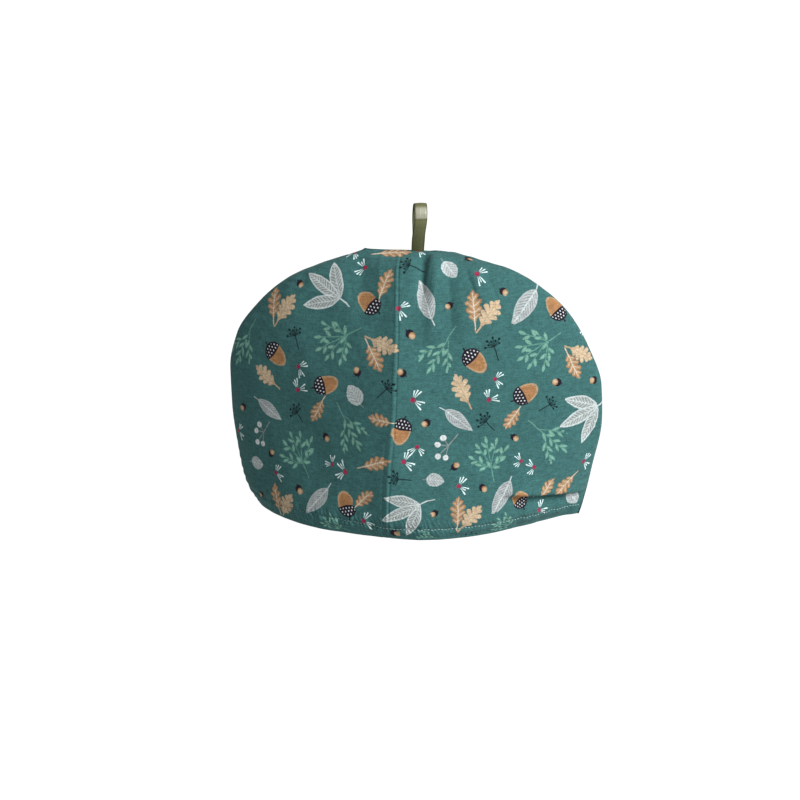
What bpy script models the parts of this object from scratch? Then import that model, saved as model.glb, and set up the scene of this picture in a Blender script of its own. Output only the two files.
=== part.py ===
"""A tea cosy that stands open on its hem.

Two wadded cotton panels are sewn together round a domed edge, with a ribbon loop caught in the
top seam.  It is modelled with the front facing -Y, the seam in the plane Y = 0 and the hem on
Z = 0, and then centred on the origin in X and Y.
"""

import math
from collections import namedtuple

import bmesh
import bpy
import numpy as np
from mathutils import Matrix, Vector

# ---------------------------------------------------------------- driving dimensions (metres)
BODY_HEIGHT = 0.250          # hem to top seam
BODY_WIDTH = 0.350
WALL = 0.005                 # wadded cloth
SEAM_GAP = 0.0003            # between the two panels, all along the seam
SEAM_OVERRUN = 0.003         # cloth that runs past the seam plane before it is trimmed
HEM_OVERRUN = 0.006          # cloth that runs below the floor before it is trimmed

# Level sections through the body.  left and right are half widths from the middle, front and
# back are depths from the seam plane.  A ridge of 0.5 rounds the corner at the seam like an
# ellipse and 1.0 presses it to a sharp edge.  flat says how far the two halves of the front lie
# straight between the crease and the seam: 0 leaves them round and 1 makes them flat.
Section = namedtuple("Section", "height left right front back left_ridge right_ridge flat")
SECTIONS = (
    Section(-HEM_OVERRUN, 0.153, 0.154, 0.082, 0.080, 0.58, 1.20, 0.00),
    Section(0.000, 0.155, 0.156, 0.083, 0.081, 0.58, 1.20, 0.00),
    Section(0.015, 0.162, 0.161, 0.084, 0.081, 0.60, 1.02, 0.03),
    Section(0.050, 0.170, 0.168, 0.083, 0.080, 0.65, 0.80, 0.20),
    Section(0.095, 0.1755, 0.175, 0.078, 0.077, 0.70, 0.70, 0.40),
    Section(0.130, 0.176, 0.173, 0.071, 0.070, 0.70, 0.70, 0.42),
    Section(0.165, 0.168, 0.160, 0.061, 0.061, 0.70, 0.70, 0.40),
    Section(0.195, 0.147, 0.142, 0.050, 0.050, 0.70, 0.70, 0.36),
    Section(0.220, 0.118, 0.115, 0.037, 0.037, 0.70, 0.70, 0.30),
    Section(0.236, 0.084, 0.085, 0.026, 0.026, 0.70, 0.70, 0.20),
    Section(0.245, 0.059, 0.043, 0.015, 0.015, 0.70, 0.70, 0.10),
    Section(0.250, 0.046, 0.018, 0.000, 0.000, 0.70, 0.70, 0.00),
)

# The mesh of a panel
LEFT_COLUMNS = 20            # left seam to the pressed crease
RIGHT_COLUMNS = 22           # pressed crease to right seam
COLUMN_CROWDING = 0.5        # how much closer the columns stand at the crease
DOME_ROWS = 21               # rows above the hem, closer together towards the top
HEM_ROWS = (-HEM_OVERRUN, -0.001, 0.0045, 0.0085, 0.0120, 0.0160, 0.0200, 0.0235, 0.0265,
            0.0290, 0.0315, 0.0340, 0.0370, 0.0410, 0.0470)
SECTION_STEPS = 361          # points that a level section is measured through

# The crease pressed into the front by its packing, and the fine hem line
CREASE_X = -0.0135
CREASE_BOW = 0.0045          # how far it bows to the right between these heights
CREASE_BOW_FOOT = (0.030, 0.130)
CREASE_BOW_HEAD = (0.262, 0.170)
CREASE_PEAK = 0.0038         # how far the two halves of the front stand up to the crease
CREASE_SPREAD = 0.034        # how far to each side the cloth turns down from it
CREASE_LINE = 0.0010         # the sharp fold itself
CREASE_LINE_WIDTH = 0.0030
HEM_LINE_HEIGHT = 0.0115     # row of stitches
HEM_LINE_DEPTH = 0.0010
HEM_LINE_WIDTH = 0.0035
FOLD_FADE = 0.012            # everything pressed into the cloth dies away this near the seam

# Soft folds, each along a straight line seen from the front: lift is the height of a ridge
# (or, below zero, the depth of a trough) and step the height by which the side above or left
# of the line stands over the other side.
Fold = namedtuple("Fold", "x_start z_start x_end z_end width lift step")
FRONT_FOLDS = (
    Fold(0.0100, 0.247, 0.0128, 0.212, 0.0058, -0.0032, 0.0),
    Fold(0.0210, 0.247, 0.0215, 0.186, 0.0055, 0.0024, 0.0),
    Fold(0.0330, 0.240, 0.0400, 0.180, 0.0070, -0.0016, 0.0),
    Fold(0.0560, 0.238, 0.0800, 0.170, 0.0090, 0.0016, 0.0),
    Fold(-0.048, 0.243, -0.042, 0.195, 0.0090, -0.0016, 0.0),
    Fold(0.095, 0.0378, 0.160, 0.0256, 0.0085, 0.0000, 0.0140),
    Fold(0.108, 0.0140, 0.156, 0.0110, 0.0100, 0.0018, 0.0),
    Fold(-0.150, 0.040, -0.120, 0.012, 0.0120, -0.0016, 0.0),
)
BACK_FOLDS = (
    Fold(0.002, 0.247, 0.010, 0.200, 0.0070, -0.0026, 0.0),
    Fold(0.030, 0.245, 0.058, 0.170, 0.0110, 0.0020, 0.0),
    Fold(-0.050, 0.240, -0.078, 0.150, 0.0120, -0.0022, 0.0),
    Fold(0.115, 0.120, 0.130, 0.030, 0.0160, -0.0024, 0.0),
    Fold(-0.125, 0.090, -0.095, 0.020, 0.0150, 0.0022, 0.0),
)

# Slow unevenness of the wadding
Swell = namedtuple("Swell", "waves_across waves_up turn height")
SWELLS = (
    Swell(2.3, 1.1, 0.4, 0.0010),
    Swell(4.1, 2.3, 1.9, 0.0006),
    Swell(6.7, 1.7, 4.2, 0.0004),
)

# Ribbon loop
RIBBON_X = 0.0025            # where the loop leaves the seam
RIBBON_WIDTH = 0.0115
RIBBON_THICKNESS = 0.0010
RIBBON_ROOT = 0.0070         # length caught in the seam
RIBBON_LEAN = math.radians(3.5)
RIBBON_TURN = math.radians(14.0)
SLOT_PLAY = 0.0003           # clear space round the caught end

# Side view of the loop: depth from the seam plane and height above the top seam
LoopPoint = namedtuple("LoopPoint", "depth height")
LOOP_SIDE = (
    LoopPoint(-0.0012, 0.0010),
    LoopPoint(-0.0032, 0.0080),
    LoopPoint(-0.0064, 0.0180),
    LoopPoint(-0.0086, 0.0270),
    LoopPoint(-0.0082, 0.0340),
    LoopPoint(-0.0040, 0.0395),
    LoopPoint(0.0030, 0.0425),
    LoopPoint(0.0090, 0.0405),
    LoopPoint(0.0112, 0.0340),
    LoopPoint(0.0096, 0.0240),
    LoopPoint(0.0056, 0.0130),
    LoopPoint(0.0024, 0.0060),
    LoopPoint(0.0012, 0.0010),
)
LOOP_STEPS = 4               # straight pieces between two points of the side view
LOOP_GAP_FOOT = 0.0045       # the two ends lie together below this height

# Cutters
CUTTER_REACH = 0.400
CUTTER_DEPTH = 0.200
SLOT_HEADROOM = 0.020

PRINTED_COTTON = ("printed cotton", (0.060, 0.190, 0.180), 0.85)
SATIN_RIBBON = ("satin ribbon", (0.110, 0.115, 0.050), 0.40)


# ---------------------------------------------------------------- scene and materials
def clear_scene():
    """Take every object out of the scene."""
    for thing in list(bpy.data.objects):
        bpy.data.objects.remove(thing, do_unlink=True)


def new_collection(name):
    """Return a collection of this name, linked to the scene."""
    group = bpy.data.collections.new(name)
    bpy.context.scene.collection.children.link(group)
    return group


def new_material(label, colour, roughness):
    """Return a cloth material."""
    material = bpy.data.materials.new(label)
    material.use_nodes = True
    shader = material.node_tree.nodes["Principled BSDF"]
    shader.inputs["Base Color"].default_value = (*colour, 1.0)
    shader.inputs["Roughness"].default_value = roughness
    shader.inputs["Metallic"].default_value = 0.0
    return material


def new_object(name, mesh, group):
    """Link a mesh to a collection as an object."""
    thing = bpy.data.objects.new(name, mesh)
    group.objects.link(thing)
    return thing


# ---------------------------------------------------------------- the surface of a panel
def smooth_values(known_at, known, wanted_at):
    """Read a table with a curve that passes through its rows without overshooting."""
    span = np.diff(known_at)
    slope = np.diff(known) / span
    turn = np.zeros(len(known))
    turn[0], turn[-1] = slope[0], slope[-1]
    rising = slope[:-1] * slope[1:] > 0.0
    before = 2.0 * span[1:] + span[:-1]
    after = span[1:] + 2.0 * span[:-1]
    with np.errstate(divide="ignore", invalid="ignore"):
        mean = (before + after) / (before / slope[:-1] + after / slope[1:])
    turn[1:-1] = np.where(rising, mean, 0.0)
    row = np.clip(np.searchsorted(known_at, wanted_at) - 1, 0, len(span) - 1)
    t = (wanted_at - known_at[row]) / span[row]
    return ((1 + 2 * t) * (1 - t) ** 2 * known[row]
            + t * (1 - t) ** 2 * span[row] * turn[row]
            + t * t * (3 - 2 * t) * known[row + 1]
            + t * t * (t - 1) * span[row] * turn[row + 1])


def row_heights():
    """Heights of the mesh rows: the hem's own, then even steps of the angle up the dome."""
    start = math.asin(HEM_ROWS[-1] / BODY_HEIGHT)
    angles = np.linspace(start, math.pi / 2, DOME_ROWS + 1)[1:]
    return np.concatenate([HEM_ROWS, BODY_HEIGHT * np.sin(angles)])


def crowded(count):
    """Fractions from 0 to 1 that stand closer together towards 1."""
    t = np.linspace(0.0, 1.0, count + 1)
    return t + COLUMN_CROWDING * np.sin(math.pi * t) / math.pi


def crease_x(z):
    """Where the pressed crease stands at a height."""
    return CREASE_X + CREASE_BOW * fade(z, *CREASE_BOW_FOOT) * fade(z, *CREASE_BOW_HEAD)


def section_points(section, side):
    """Points of one level section, evenly spaced but for the crowding at the crease."""
    angle = np.linspace(0.0, math.pi, SECTION_STEPS)
    across = -np.cos(angle)
    on_left = across < 0.0
    half_width = np.where(on_left, section.left, section.right)
    ridge = np.where(on_left, section.left_ridge, section.right_ridge)
    depth = section.front if side < 0 else section.back
    x = across * half_width
    rise = np.abs(np.sin(angle)) ** (2.0 * ridge)
    crease = crease_x(section.height)
    if side < 0:
        reach = np.where(x < crease, section.left + crease, section.right - crease)
        straight = 1.0 - np.abs(x - crease) / reach
        rise = rise + (straight - rise) * section.flat
    y = side * depth * rise
    along = np.concatenate([[0.0], np.cumsum(np.hypot(np.diff(x), np.diff(y)))])
    crease_at = np.interp(crease, x, along)
    left_part = crowded(LEFT_COLUMNS) * crease_at
    right_part = along[-1] - crowded(RIGHT_COLUMNS)[::-1] * (along[-1] - crease_at)
    wanted = np.concatenate([left_part, right_part[1:]])
    return np.interp(wanted, along, x), np.interp(wanted, along, y)


def panel_points(side):
    """Grid of points of the plain panel, before its folds: rows up, columns left to right."""
    heights = row_heights()
    table = np.array(SECTIONS)
    columns = [smooth_values(table[:, 0], column, heights) for column in table.T[1:]]
    grid = np.zeros((len(heights), LEFT_COLUMNS + RIGHT_COLUMNS + 1, 3))
    for row, height in enumerate(heights):
        section = Section(height, *[column[row] for column in columns])
        grid[row, :, 0], grid[row, :, 1] = section_points(section, side)
        grid[row, :, 2] = height
    return grid


def grid_normals(grid, side):
    """Outward directions of a grid of points."""
    across = np.gradient(grid, axis=1)
    up = np.gradient(grid, axis=0)
    normal = np.cross(across, up) * -side
    return normal / np.maximum(np.linalg.norm(normal, axis=2, keepdims=True), 1e-9)


# ---------------------------------------------------------------- folds
def fade(value, start, end):
    """Smooth step from 0 at start to 1 at end."""
    t = np.clip((value - start) / (end - start), 0.0, 1.0)
    return t * t * (3.0 - 2.0 * t)


def crease_height(x, z):
    """The pressed crease: two flat halves that meet in a ridge, and the sharp fold on it."""
    away = np.abs(x - crease_x(z))
    tent = CREASE_PEAK * np.exp(-away / CREASE_SPREAD)
    line = CREASE_LINE * np.exp(-(away / CREASE_LINE_WIDTH) ** 2)
    return (tent + line) * fade(z, 0.0, 0.020) * fade(z, BODY_HEIGHT + 0.001, BODY_HEIGHT - 0.014)


def fold_height(fold, x, z):
    """Height of one soft fold at points seen from the front."""
    run = np.array([fold.x_end - fold.x_start, fold.z_end - fold.z_start])
    length = np.hypot(*run)
    run = run / length
    along = ((x - fold.x_start) * run[0] + (z - fold.z_start) * run[1]) / length
    over = -(x - fold.x_start) * run[1] + (z - fold.z_start) * run[0]
    ends = fade(along, -0.15, 0.15) * fade(along, 1.25, 0.75)
    ridge = fold.lift * np.exp(-(over / fold.width) ** 2)
    shelf = np.tanh(over / (0.3 * fold.width)) * np.exp(-np.abs(over) / fold.width)
    return (ridge + 0.5 * fold.step * shelf) * ends


def hem_height(z):
    """The shallow groove that the row of hem stitches pulls."""
    return -HEM_LINE_DEPTH * np.exp(-((z - HEM_LINE_HEIGHT) / HEM_LINE_WIDTH) ** 2)


def swell_height(x, z, side):
    """Slow unevenness of the wadding, other on the back than on the front."""
    total = np.zeros_like(x)
    for swell in SWELLS:
        across = 2.0 * math.pi * swell.waves_across * x / BODY_WIDTH
        up = 2.0 * math.pi * swell.waves_up * z / BODY_HEIGHT
        total += swell.height * np.sin(across + swell.turn * side) * np.cos(up + swell.turn)
    return total


def folded_grid(side):
    """The panel's points with its folds, which die away at the seam."""
    grid = panel_points(side)
    x, z = grid[:, :, 0], grid[:, :, 2]
    from_seam = fade(np.abs(grid[:, :, 1]), 0.0, FOLD_FADE)
    height = swell_height(x, z, side) + hem_height(z)
    if side < 0:
        height = height + crease_height(x, z)
    for fold in (FRONT_FOLDS if side < 0 else BACK_FOLDS):
        height = height + fold_height(fold, x, z)
    return grid + grid_normals(grid, side) * (height * from_seam)[:, :, None]


# ---------------------------------------------------------------- cutters
def add_box(name, low, high, group):
    """A cutter box between two corners."""
    low, high = Vector(low), Vector(high)
    bpy.ops.mesh.primitive_cube_add(size=1.0, location=(low + high) / 2)
    box = bpy.context.object
    box.name = name
    box.scale = high - low
    for collection in list(box.users_collection):
        collection.objects.unlink(box)
    group.objects.link(box)
    box.hide_render = True
    box.display_type = "WIRE"
    return box


def cut(thing, cutter):
    """Take a cutter away from an object."""
    modifier = thing.modifiers.new("cut " + cutter.name, "BOOLEAN")
    modifier.operation = "DIFFERENCE"
    modifier.solver = "EXACT"
    modifier.use_self = True
    modifier.object = cutter


# ---------------------------------------------------------------- pieces
def build_panel(name, side, group, material, cutters):
    """One wadded panel: an open sheet, thickened inwards and trimmed flat at seam and hem."""
    points = folded_grid(side)
    rows, columns = points.shape[:2]
    sheet = bmesh.new()
    bmesh.ops.create_grid(sheet, x_segments=columns - 1, y_segments=rows - 1, size=1.0)
    sheet.verts.ensure_lookup_table()
    ordered = sorted(sheet.verts, key=lambda v: (round(v.co.y, 5), round(v.co.x, 5)))
    for vert, place in zip(ordered, points.reshape(-1, 3)):
        vert.co = Vector(place)
    hem = set(ordered[:columns])
    seam_edges = [e for e in sheet.edges if e.is_boundary and not set(e.verts) <= hem]
    run_on = bmesh.ops.extrude_edge_only(sheet, edges=seam_edges)["geom"]
    past_seam = [v for v in run_on if isinstance(v, bmesh.types.BMVert)]
    bmesh.ops.translate(sheet, verts=past_seam, vec=(0.0, -side * SEAM_OVERRUN, 0.0))
    bmesh.ops.recalc_face_normals(sheet, faces=sheet.faces)
    middle = sheet.faces[len(sheet.faces) // 3]
    if middle.normal.y * side < 0.0:
        bmesh.ops.reverse_faces(sheet, faces=sheet.faces)
    mesh = bpy.data.meshes.new(name)
    sheet.to_mesh(mesh)
    sheet.free()
    mesh.shade_smooth()
    mesh.materials.append(material)
    panel = new_object(name, mesh, group)
    wall = panel.modifiers.new("wall", "SOLIDIFY")
    wall.thickness = WALL
    wall.offset = -1.0
    wall.use_even_offset = True
    for cutter in cutters:
        cut(panel, cutter)
    return panel


def side_view_outline(inset):
    """Closed outline of the loop seen from the side, drawn in by an inset."""
    known = np.array(LOOP_SIDE)
    at = np.arange(len(known), dtype=float)
    wanted = np.linspace(0.0, len(known) - 1.0, (len(known) - 1) * LOOP_STEPS + 1)
    curve = np.stack([smooth_values(at, known[:, c], wanted) for c in (0, 1)], axis=1)
    along = np.gradient(curve, axis=0)
    along /= np.linalg.norm(along, axis=1, keepdims=True)
    inward = np.stack([along[:, 1], -along[:, 0]], axis=1)
    return curve + inward * inset


def build_ribbon(group, material):
    """The ribbon loop: its side view, with the gap inside it, drawn out to the ribbon's width."""
    outer = side_view_outline(0.0)
    inner = side_view_outline(RIBBON_THICKNESS)
    inner = inner[inner[:, 1] > LOOP_GAP_FOOT]
    root = np.array([[outer[-1, 0], -RIBBON_ROOT], [outer[0, 0], -RIBBON_ROOT]])
    curve = bpy.data.curves.new("ribbon side view", "CURVE")
    curve.dimensions = "2D"
    curve.fill_mode = "BOTH"
    curve.extrude = RIBBON_WIDTH / 2
    for outline in (np.concatenate([outer, root]), inner):
        spline = curve.splines.new("POLY")
        spline.points.add(len(outline) - 1)
        for point, (depth, height) in zip(spline.points, outline):
            point.co = (depth, height, 0.0, 1.0)
        spline.use_cyclic_u = True
    drawn = new_object("ribbon drawing", curve, group)
    ribbon_mesh = bpy.data.meshes.new_from_object(drawn.evaluated_get(
        bpy.context.evaluated_depsgraph_get()))
    bpy.data.objects.remove(drawn, do_unlink=True)
    solid = bmesh.new()
    solid.from_mesh(ribbon_mesh)
    bmesh.ops.remove_doubles(solid, verts=solid.verts, dist=0.00002)
    # side view depth -> Y, side view height -> Z, ribbon width -> X
    stand = Matrix(((0, 0, 1, 0), (1, 0, 0, 0), (0, 1, 0, 0), (0, 0, 0, 1)))
    solid.transform(stand)
    for vert in solid.verts:
        above = max(0.0, vert.co.z)
        rise = fade(above, 0.0, 0.030)
        turn = Matrix.Rotation(RIBBON_TURN * rise, 3, "Z")
        vert.co = turn @ vert.co
        vert.co.x += above * math.tan(RIBBON_LEAN)
    bmesh.ops.translate(solid, verts=solid.verts, vec=(RIBBON_X, 0.0, BODY_HEIGHT))
    bmesh.ops.recalc_face_normals(solid, faces=solid.faces)
    solid.to_mesh(ribbon_mesh)
    solid.free()
    ribbon_mesh.name = "ribbon_loop"
    ribbon_mesh.materials.clear()
    ribbon_mesh.materials.append(material)
    return new_object("ribbon_loop", ribbon_mesh, group)


def centre(pieces, cutter_boxes, group):
    """Hang everything on an empty and move it so that the pieces are centred on the origin."""
    graph = bpy.context.evaluated_depsgraph_get()
    points = []
    for piece in pieces:
        points += [vert.co.copy() for vert in piece.evaluated_get(graph).data.vertices]
    middle_x = (min(p.x for p in points) + max(p.x for p in points)) / 2
    middle_y = (min(p.y for p in points) + max(p.y for p in points)) / 2
    middle = bpy.data.objects.new("middle", None)
    group.objects.link(middle)
    for thing in pieces + cutter_boxes:
        thing.parent = middle
    middle.location = (-middle_x, -middle_y, 0.0)


def build():
    """Make the whole cosy."""
    clear_scene()
    parts = new_collection("tea cosy")
    cutters = new_collection("cutters")
    cotton = new_material(*PRINTED_COTTON)
    satin = new_material(*SATIN_RIBBON)

    reach, deep = CUTTER_REACH, -CUTTER_DEPTH
    half_gap = SEAM_GAP / 2
    slot_half_width = RIBBON_WIDTH / 2 + SLOT_PLAY
    slot_half_depth = -LOOP_SIDE[0].depth + SLOT_PLAY
    floor = add_box("floor", (-reach, -reach, deep), (reach, reach, 0.0), cutters)
    behind = add_box("behind front", (-reach, -half_gap, deep), (reach, reach, reach), cutters)
    ahead = add_box("ahead of back", (-reach, -reach, deep), (reach, half_gap, reach), cutters)
    slot = add_box("ribbon slot",
                   (RIBBON_X - slot_half_width, -slot_half_depth,
                    BODY_HEIGHT - RIBBON_ROOT - SLOT_PLAY),
                   (RIBBON_X + slot_half_width, slot_half_depth,
                    BODY_HEIGHT + SLOT_HEADROOM), cutters)

    pieces = [
        build_panel("front_panel", -1, parts, cotton, (behind, floor, slot)),
        build_panel("back_panel", 1, parts, cotton, (ahead, floor, slot)),
        build_ribbon(parts, satin),
    ]
    centre(pieces, [behind, ahead, floor, slot], parts)


build()
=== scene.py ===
"""Looks of a padded tea cosy: printed cotton panels, hem stitching and a satin ribbon loop.

The cosy stands on its hem with its front towards -Y.  Sizes are in metres unless a name ends in
_MM or a comment says otherwise.  The print and the weave are laid out in millimetres on the flat
cloth, measured across from the pressed crease and up from the hem.
"""

import math
from collections import namedtuple
from functools import reduce

import bmesh
import bpy
import numpy as np
from bpy.props import FloatProperty, FloatVectorProperty, PointerProperty
from mathutils import Matrix, Vector


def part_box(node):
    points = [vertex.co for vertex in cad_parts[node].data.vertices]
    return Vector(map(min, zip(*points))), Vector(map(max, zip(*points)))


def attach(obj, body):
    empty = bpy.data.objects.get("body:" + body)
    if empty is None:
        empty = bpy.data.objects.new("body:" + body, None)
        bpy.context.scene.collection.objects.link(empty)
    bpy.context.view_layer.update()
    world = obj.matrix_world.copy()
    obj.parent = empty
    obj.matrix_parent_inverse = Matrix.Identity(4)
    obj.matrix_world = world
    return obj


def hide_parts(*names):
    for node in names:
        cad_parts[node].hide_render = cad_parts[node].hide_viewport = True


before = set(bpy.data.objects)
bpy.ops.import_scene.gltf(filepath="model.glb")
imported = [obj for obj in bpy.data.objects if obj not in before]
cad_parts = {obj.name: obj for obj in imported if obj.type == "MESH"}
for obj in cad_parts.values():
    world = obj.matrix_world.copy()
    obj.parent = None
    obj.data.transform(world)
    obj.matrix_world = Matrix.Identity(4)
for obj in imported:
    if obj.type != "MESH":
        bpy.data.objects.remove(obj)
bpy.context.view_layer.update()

bl_info = {
    "name": "Tea Cosy",
    "version": (1, 0, 0),
    "blender": (4, 5, 0),
    "location": "View3D > Sidebar > Tea Cosy",
    "description": "Builds the cloth, stitching, ribbon and stage of a padded tea cosy",
    "category": "Add Mesh",
}

BODY = "root"

# ---------------------------------------------------------------- the cosy's own frame
FRONT_LOW, FRONT_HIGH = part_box("front_panel")
BACK_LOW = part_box("back_panel")[0]
BODY_WIDTH, BODY_HEIGHT = 0.350, 0.250
SEAM_Y = (FRONT_HIGH.y + BACK_LOW.y) / 2
MIDDLE_SHIFT = 0.00035       # from the box's centre, as the left side bulges further out
MIDDLE_X = (FRONT_LOW.x + FRONT_HIGH.x) / 2 + MIDDLE_SHIFT
MIDDLE = np.array([MIDDLE_X, SEAM_Y, 0.0])

WALL = 0.005
SEAM_CLEARANCE = 0.00015     # from each panel to the seam plane
HEM_RADIUS = WALL / 2

# Level sections through the body: half widths from the middle and depths from the seam.  A ridge
# of 0.5 rounds the corner at the seam like an ellipse and 1.0 presses it to a sharp edge; flat
# says how far the halves of the front lie straight between the crease and the seam.
Section = namedtuple("Section", "height left right front back left_ridge right_ridge flat")
SECTIONS = (
    Section(-0.006, 0.153, 0.154, 0.082, 0.080, 0.58, 1.20, 0.00),
    Section(0.000, 0.155, 0.156, 0.083, 0.081, 0.58, 1.20, 0.00),
    Section(0.015, 0.162, 0.161, 0.084, 0.081, 0.60, 1.02, 0.03),
    Section(0.050, 0.170, 0.168, 0.083, 0.080, 0.65, 0.80, 0.20),
    Section(0.095, 0.1755, 0.175, 0.078, 0.077, 0.70, 0.70, 0.40),
    Section(0.130, 0.176, 0.173, 0.071, 0.070, 0.70, 0.70, 0.42),
    Section(0.165, 0.168, 0.160, 0.061, 0.061, 0.70, 0.70, 0.40),
    Section(0.195, 0.147, 0.142, 0.050, 0.050, 0.70, 0.70, 0.36),
    Section(0.220, 0.118, 0.115, 0.037, 0.037, 0.70, 0.70, 0.30),
    Section(0.236, 0.084, 0.085, 0.026, 0.026, 0.70, 0.70, 0.20),
    Section(0.245, 0.059, 0.043, 0.015, 0.015, 0.70, 0.70, 0.10),
    Section(0.250, 0.046, 0.018, 0.000, 0.000, 0.70, 0.70, 0.00),
)
SECTION_STEPS = 721
LEVEL_ZONE = 0.020           # below this height the cloth's directions turn level by the hem

# The grid of a panel
LEFT_COLUMNS = 120
RIGHT_COLUMNS = 150
COLUMN_CROWDING = 0.62       # how much closer the columns stand at the seams and the crease
HEM_ZONE = 0.048
HEM_ROWS = 34
DOME_ROWS = 106
RIM_ROWS = 7
CREASE_COLUMN = LEFT_COLUMNS
COLUMNS = LEFT_COLUMNS + RIGHT_COLUMNS + 1

# The pressed crease of the front
CREASE_X = -0.0135
CREASE_BOW = 0.0045          # how far it bows to the right between these heights
CREASE_BOW_FOOT = (0.030, 0.130)
CREASE_BOW_HEAD = (0.262, 0.170)
CREASE_PEAK = 0.0038
CREASE_SPREAD = 0.034
CREASE_HEAD_FADE = (BODY_HEIGHT + 0.001, BODY_HEIGHT - 0.014)
CreaseLine = namedtuple("CreaseLine", "offset width height foot top")
CREASE_LINES = (
    CreaseLine(0.0000, 0.0010, 0.0003, 0.000, 0.262),
    CreaseLine(0.0017, 0.0009, -0.0006, 0.000, 0.262),
    CreaseLine(-0.0040, 0.0009, -0.0003, -0.010, 0.110),
)
CREASE_LINE_FOOT_FADE = 0.012
CREASE_LINE_TOP_FADE = 0.03

# Soft folds along straight lines seen from the front; lift is a ridge's height, step the height
# by which the side above the line stands over the other.  A fold fades in and out between the
# given parts of its length.
Fold = namedtuple("Fold", "x_start z_start x_end z_end width lift step")
FOLD_START_FADE = (-0.15, 0.15)
FOLD_END_FADE = (1.25, 0.75)
STEP_RISE = 0.3              # how wide a step's rise is, in parts of the fold's width
FRONT_FOLDS = (
    Fold(0.0100, 0.247, 0.0128, 0.212, 0.0058, -0.0032, 0.0),
    Fold(0.0210, 0.247, 0.0215, 0.186, 0.0055, 0.0024, 0.0),
    Fold(0.0330, 0.240, 0.0400, 0.180, 0.0070, -0.0016, 0.0),
    Fold(0.0560, 0.238, 0.0800, 0.170, 0.0090, 0.0016, 0.0),
    Fold(-0.048, 0.243, -0.042, 0.195, 0.0090, -0.0016, 0.0),
    Fold(0.095, 0.0378, 0.160, 0.0256, 0.0085, 0.0000, 0.0140),
    Fold(0.108, 0.0140, 0.156, 0.0110, 0.0100, 0.0018, 0.0),
    Fold(-0.150, 0.040, -0.120, 0.012, 0.0120, -0.0016, 0.0),
)
FRONT_CREASES = (
    Fold(0.0146, 0.250, 0.0130, 0.216, 0.0030, 0.0000, 0.0026),
    Fold(0.0112, 0.250, 0.0122, 0.226, 0.0060, 0.0000, 0.0028),
    Fold(0.0275, 0.226, 0.0215, 0.204, 0.0020, -0.0004, 0.0020),
    Fold(0.0335, 0.228, 0.0375, 0.192, 0.0020, -0.0004, -0.0017),
    Fold(0.0490, 0.238, 0.0670, 0.202, 0.0022, -0.0005, 0.0020),
    Fold(0.0700, 0.230, 0.0800, 0.210, 0.0024, -0.0004, 0.0012),
    Fold(-0.0300, 0.244, -0.0270, 0.205, 0.0026, 0.0005, 0.0004),
    Fold(-0.0600, 0.238, -0.0520, 0.215, 0.0026, -0.0005, 0.0004),
)
BACK_FOLDS = (
    Fold(0.002, 0.247, 0.010, 0.200, 0.0070, -0.0026, 0.0),
    Fold(0.030, 0.245, 0.058, 0.170, 0.0110, 0.0020, 0.0),
    Fold(-0.050, 0.240, -0.078, 0.150, 0.0120, -0.0022, 0.0),
    Fold(0.115, 0.120, 0.130, 0.030, 0.0160, -0.0024, 0.0),
    Fold(-0.125, 0.090, -0.095, 0.020, 0.0150, 0.0022, 0.0),
)
Swell = namedtuple("Swell", "waves_across waves_up turn height")
SWELLS = (
    Swell(2.3, 1.1, 0.4, 0.0010),
    Swell(4.1, 2.3, 1.9, 0.0006),
    Swell(6.7, 1.7, 4.2, 0.0004),
)

# Small uneven ripples of the wadded cloth: their length and direction on the cloth
Ripple = namedtuple("Ripple", "length_mm heading turn height")
RIPPLES = (
    Ripple(31.0, 20.0, 0.3, 0.00022),
    Ripple(23.0, 100.0, 2.1, 0.00020),
    Ripple(17.0, 152.0, 4.0, 0.00016),
    Ripple(13.0, 63.0, 1.2, 0.00012),
    Ripple(9.5, 118.0, 5.3, 0.00008),
)
RIPPLE_PATCH_MM = 74.0       # the ripples come and go over this length

HEM_LINE_MM = 11.5           # row of stitches above the hem edge
HEM_LINE_RISE_MM = 3.2       # how much higher it runs left of the crease
HEM_LINE_RISE_AT_MM = (20.0, -60.0)  # across the cloth, where it starts to rise and ends
HEM_ROLL = 0.0022            # how far the edge curls in below it
HEM_ROLL_AT_MM = (-1.0, -11.0)       # above the stitches, where the curl starts and is full
HEM_LINE_DEPTH = 0.0012
HEM_LINE_WIDTH_MM = 1.9
PUCKER_LENGTH_MM = 14.0
PUCKER_HEIGHT = 0.00045
PUCKER_REACH_MM = 9.0
PUCKER_WEAKEST = 0.35        # strength where the puckers are weakest
PUCKER_STRONG_AT_MM, PUCKER_PERIOD_MM = -75.0, 260.0
Drift = namedtuple("Drift", "radians length_mm")
PUCKER_DRIFTS = (Drift(1.3, 11.0), Drift(0.9, 29.0))
SEAM_PUCKER_LENGTH_MM = 8.7
SEAM_PUCKER_HEIGHT = 0.0005
SEAM_PUCKER_REACH = 0.010
SEAM_PUCKER_START = 0.004    # depth from the seam at which they are full
SEAM_PUCKER_DRIFT = Drift(1.7, 17.0)
SEAM_GROOVE = 0.0008         # how far the two panels roll in where they meet
SEAM_GROOVE_WIDTH = 0.0026
FOLD_FADE = 0.012            # folds die away over this depth from the seam
WALL_FADE = 0.009            # the wadding thins out into the seam over this depth
PROBE_MM = 2.0               # the cloth's directions are measured this far round a place
PROBE_EDGE_MM = 3.0          # which keeps this far from the seams


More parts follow.
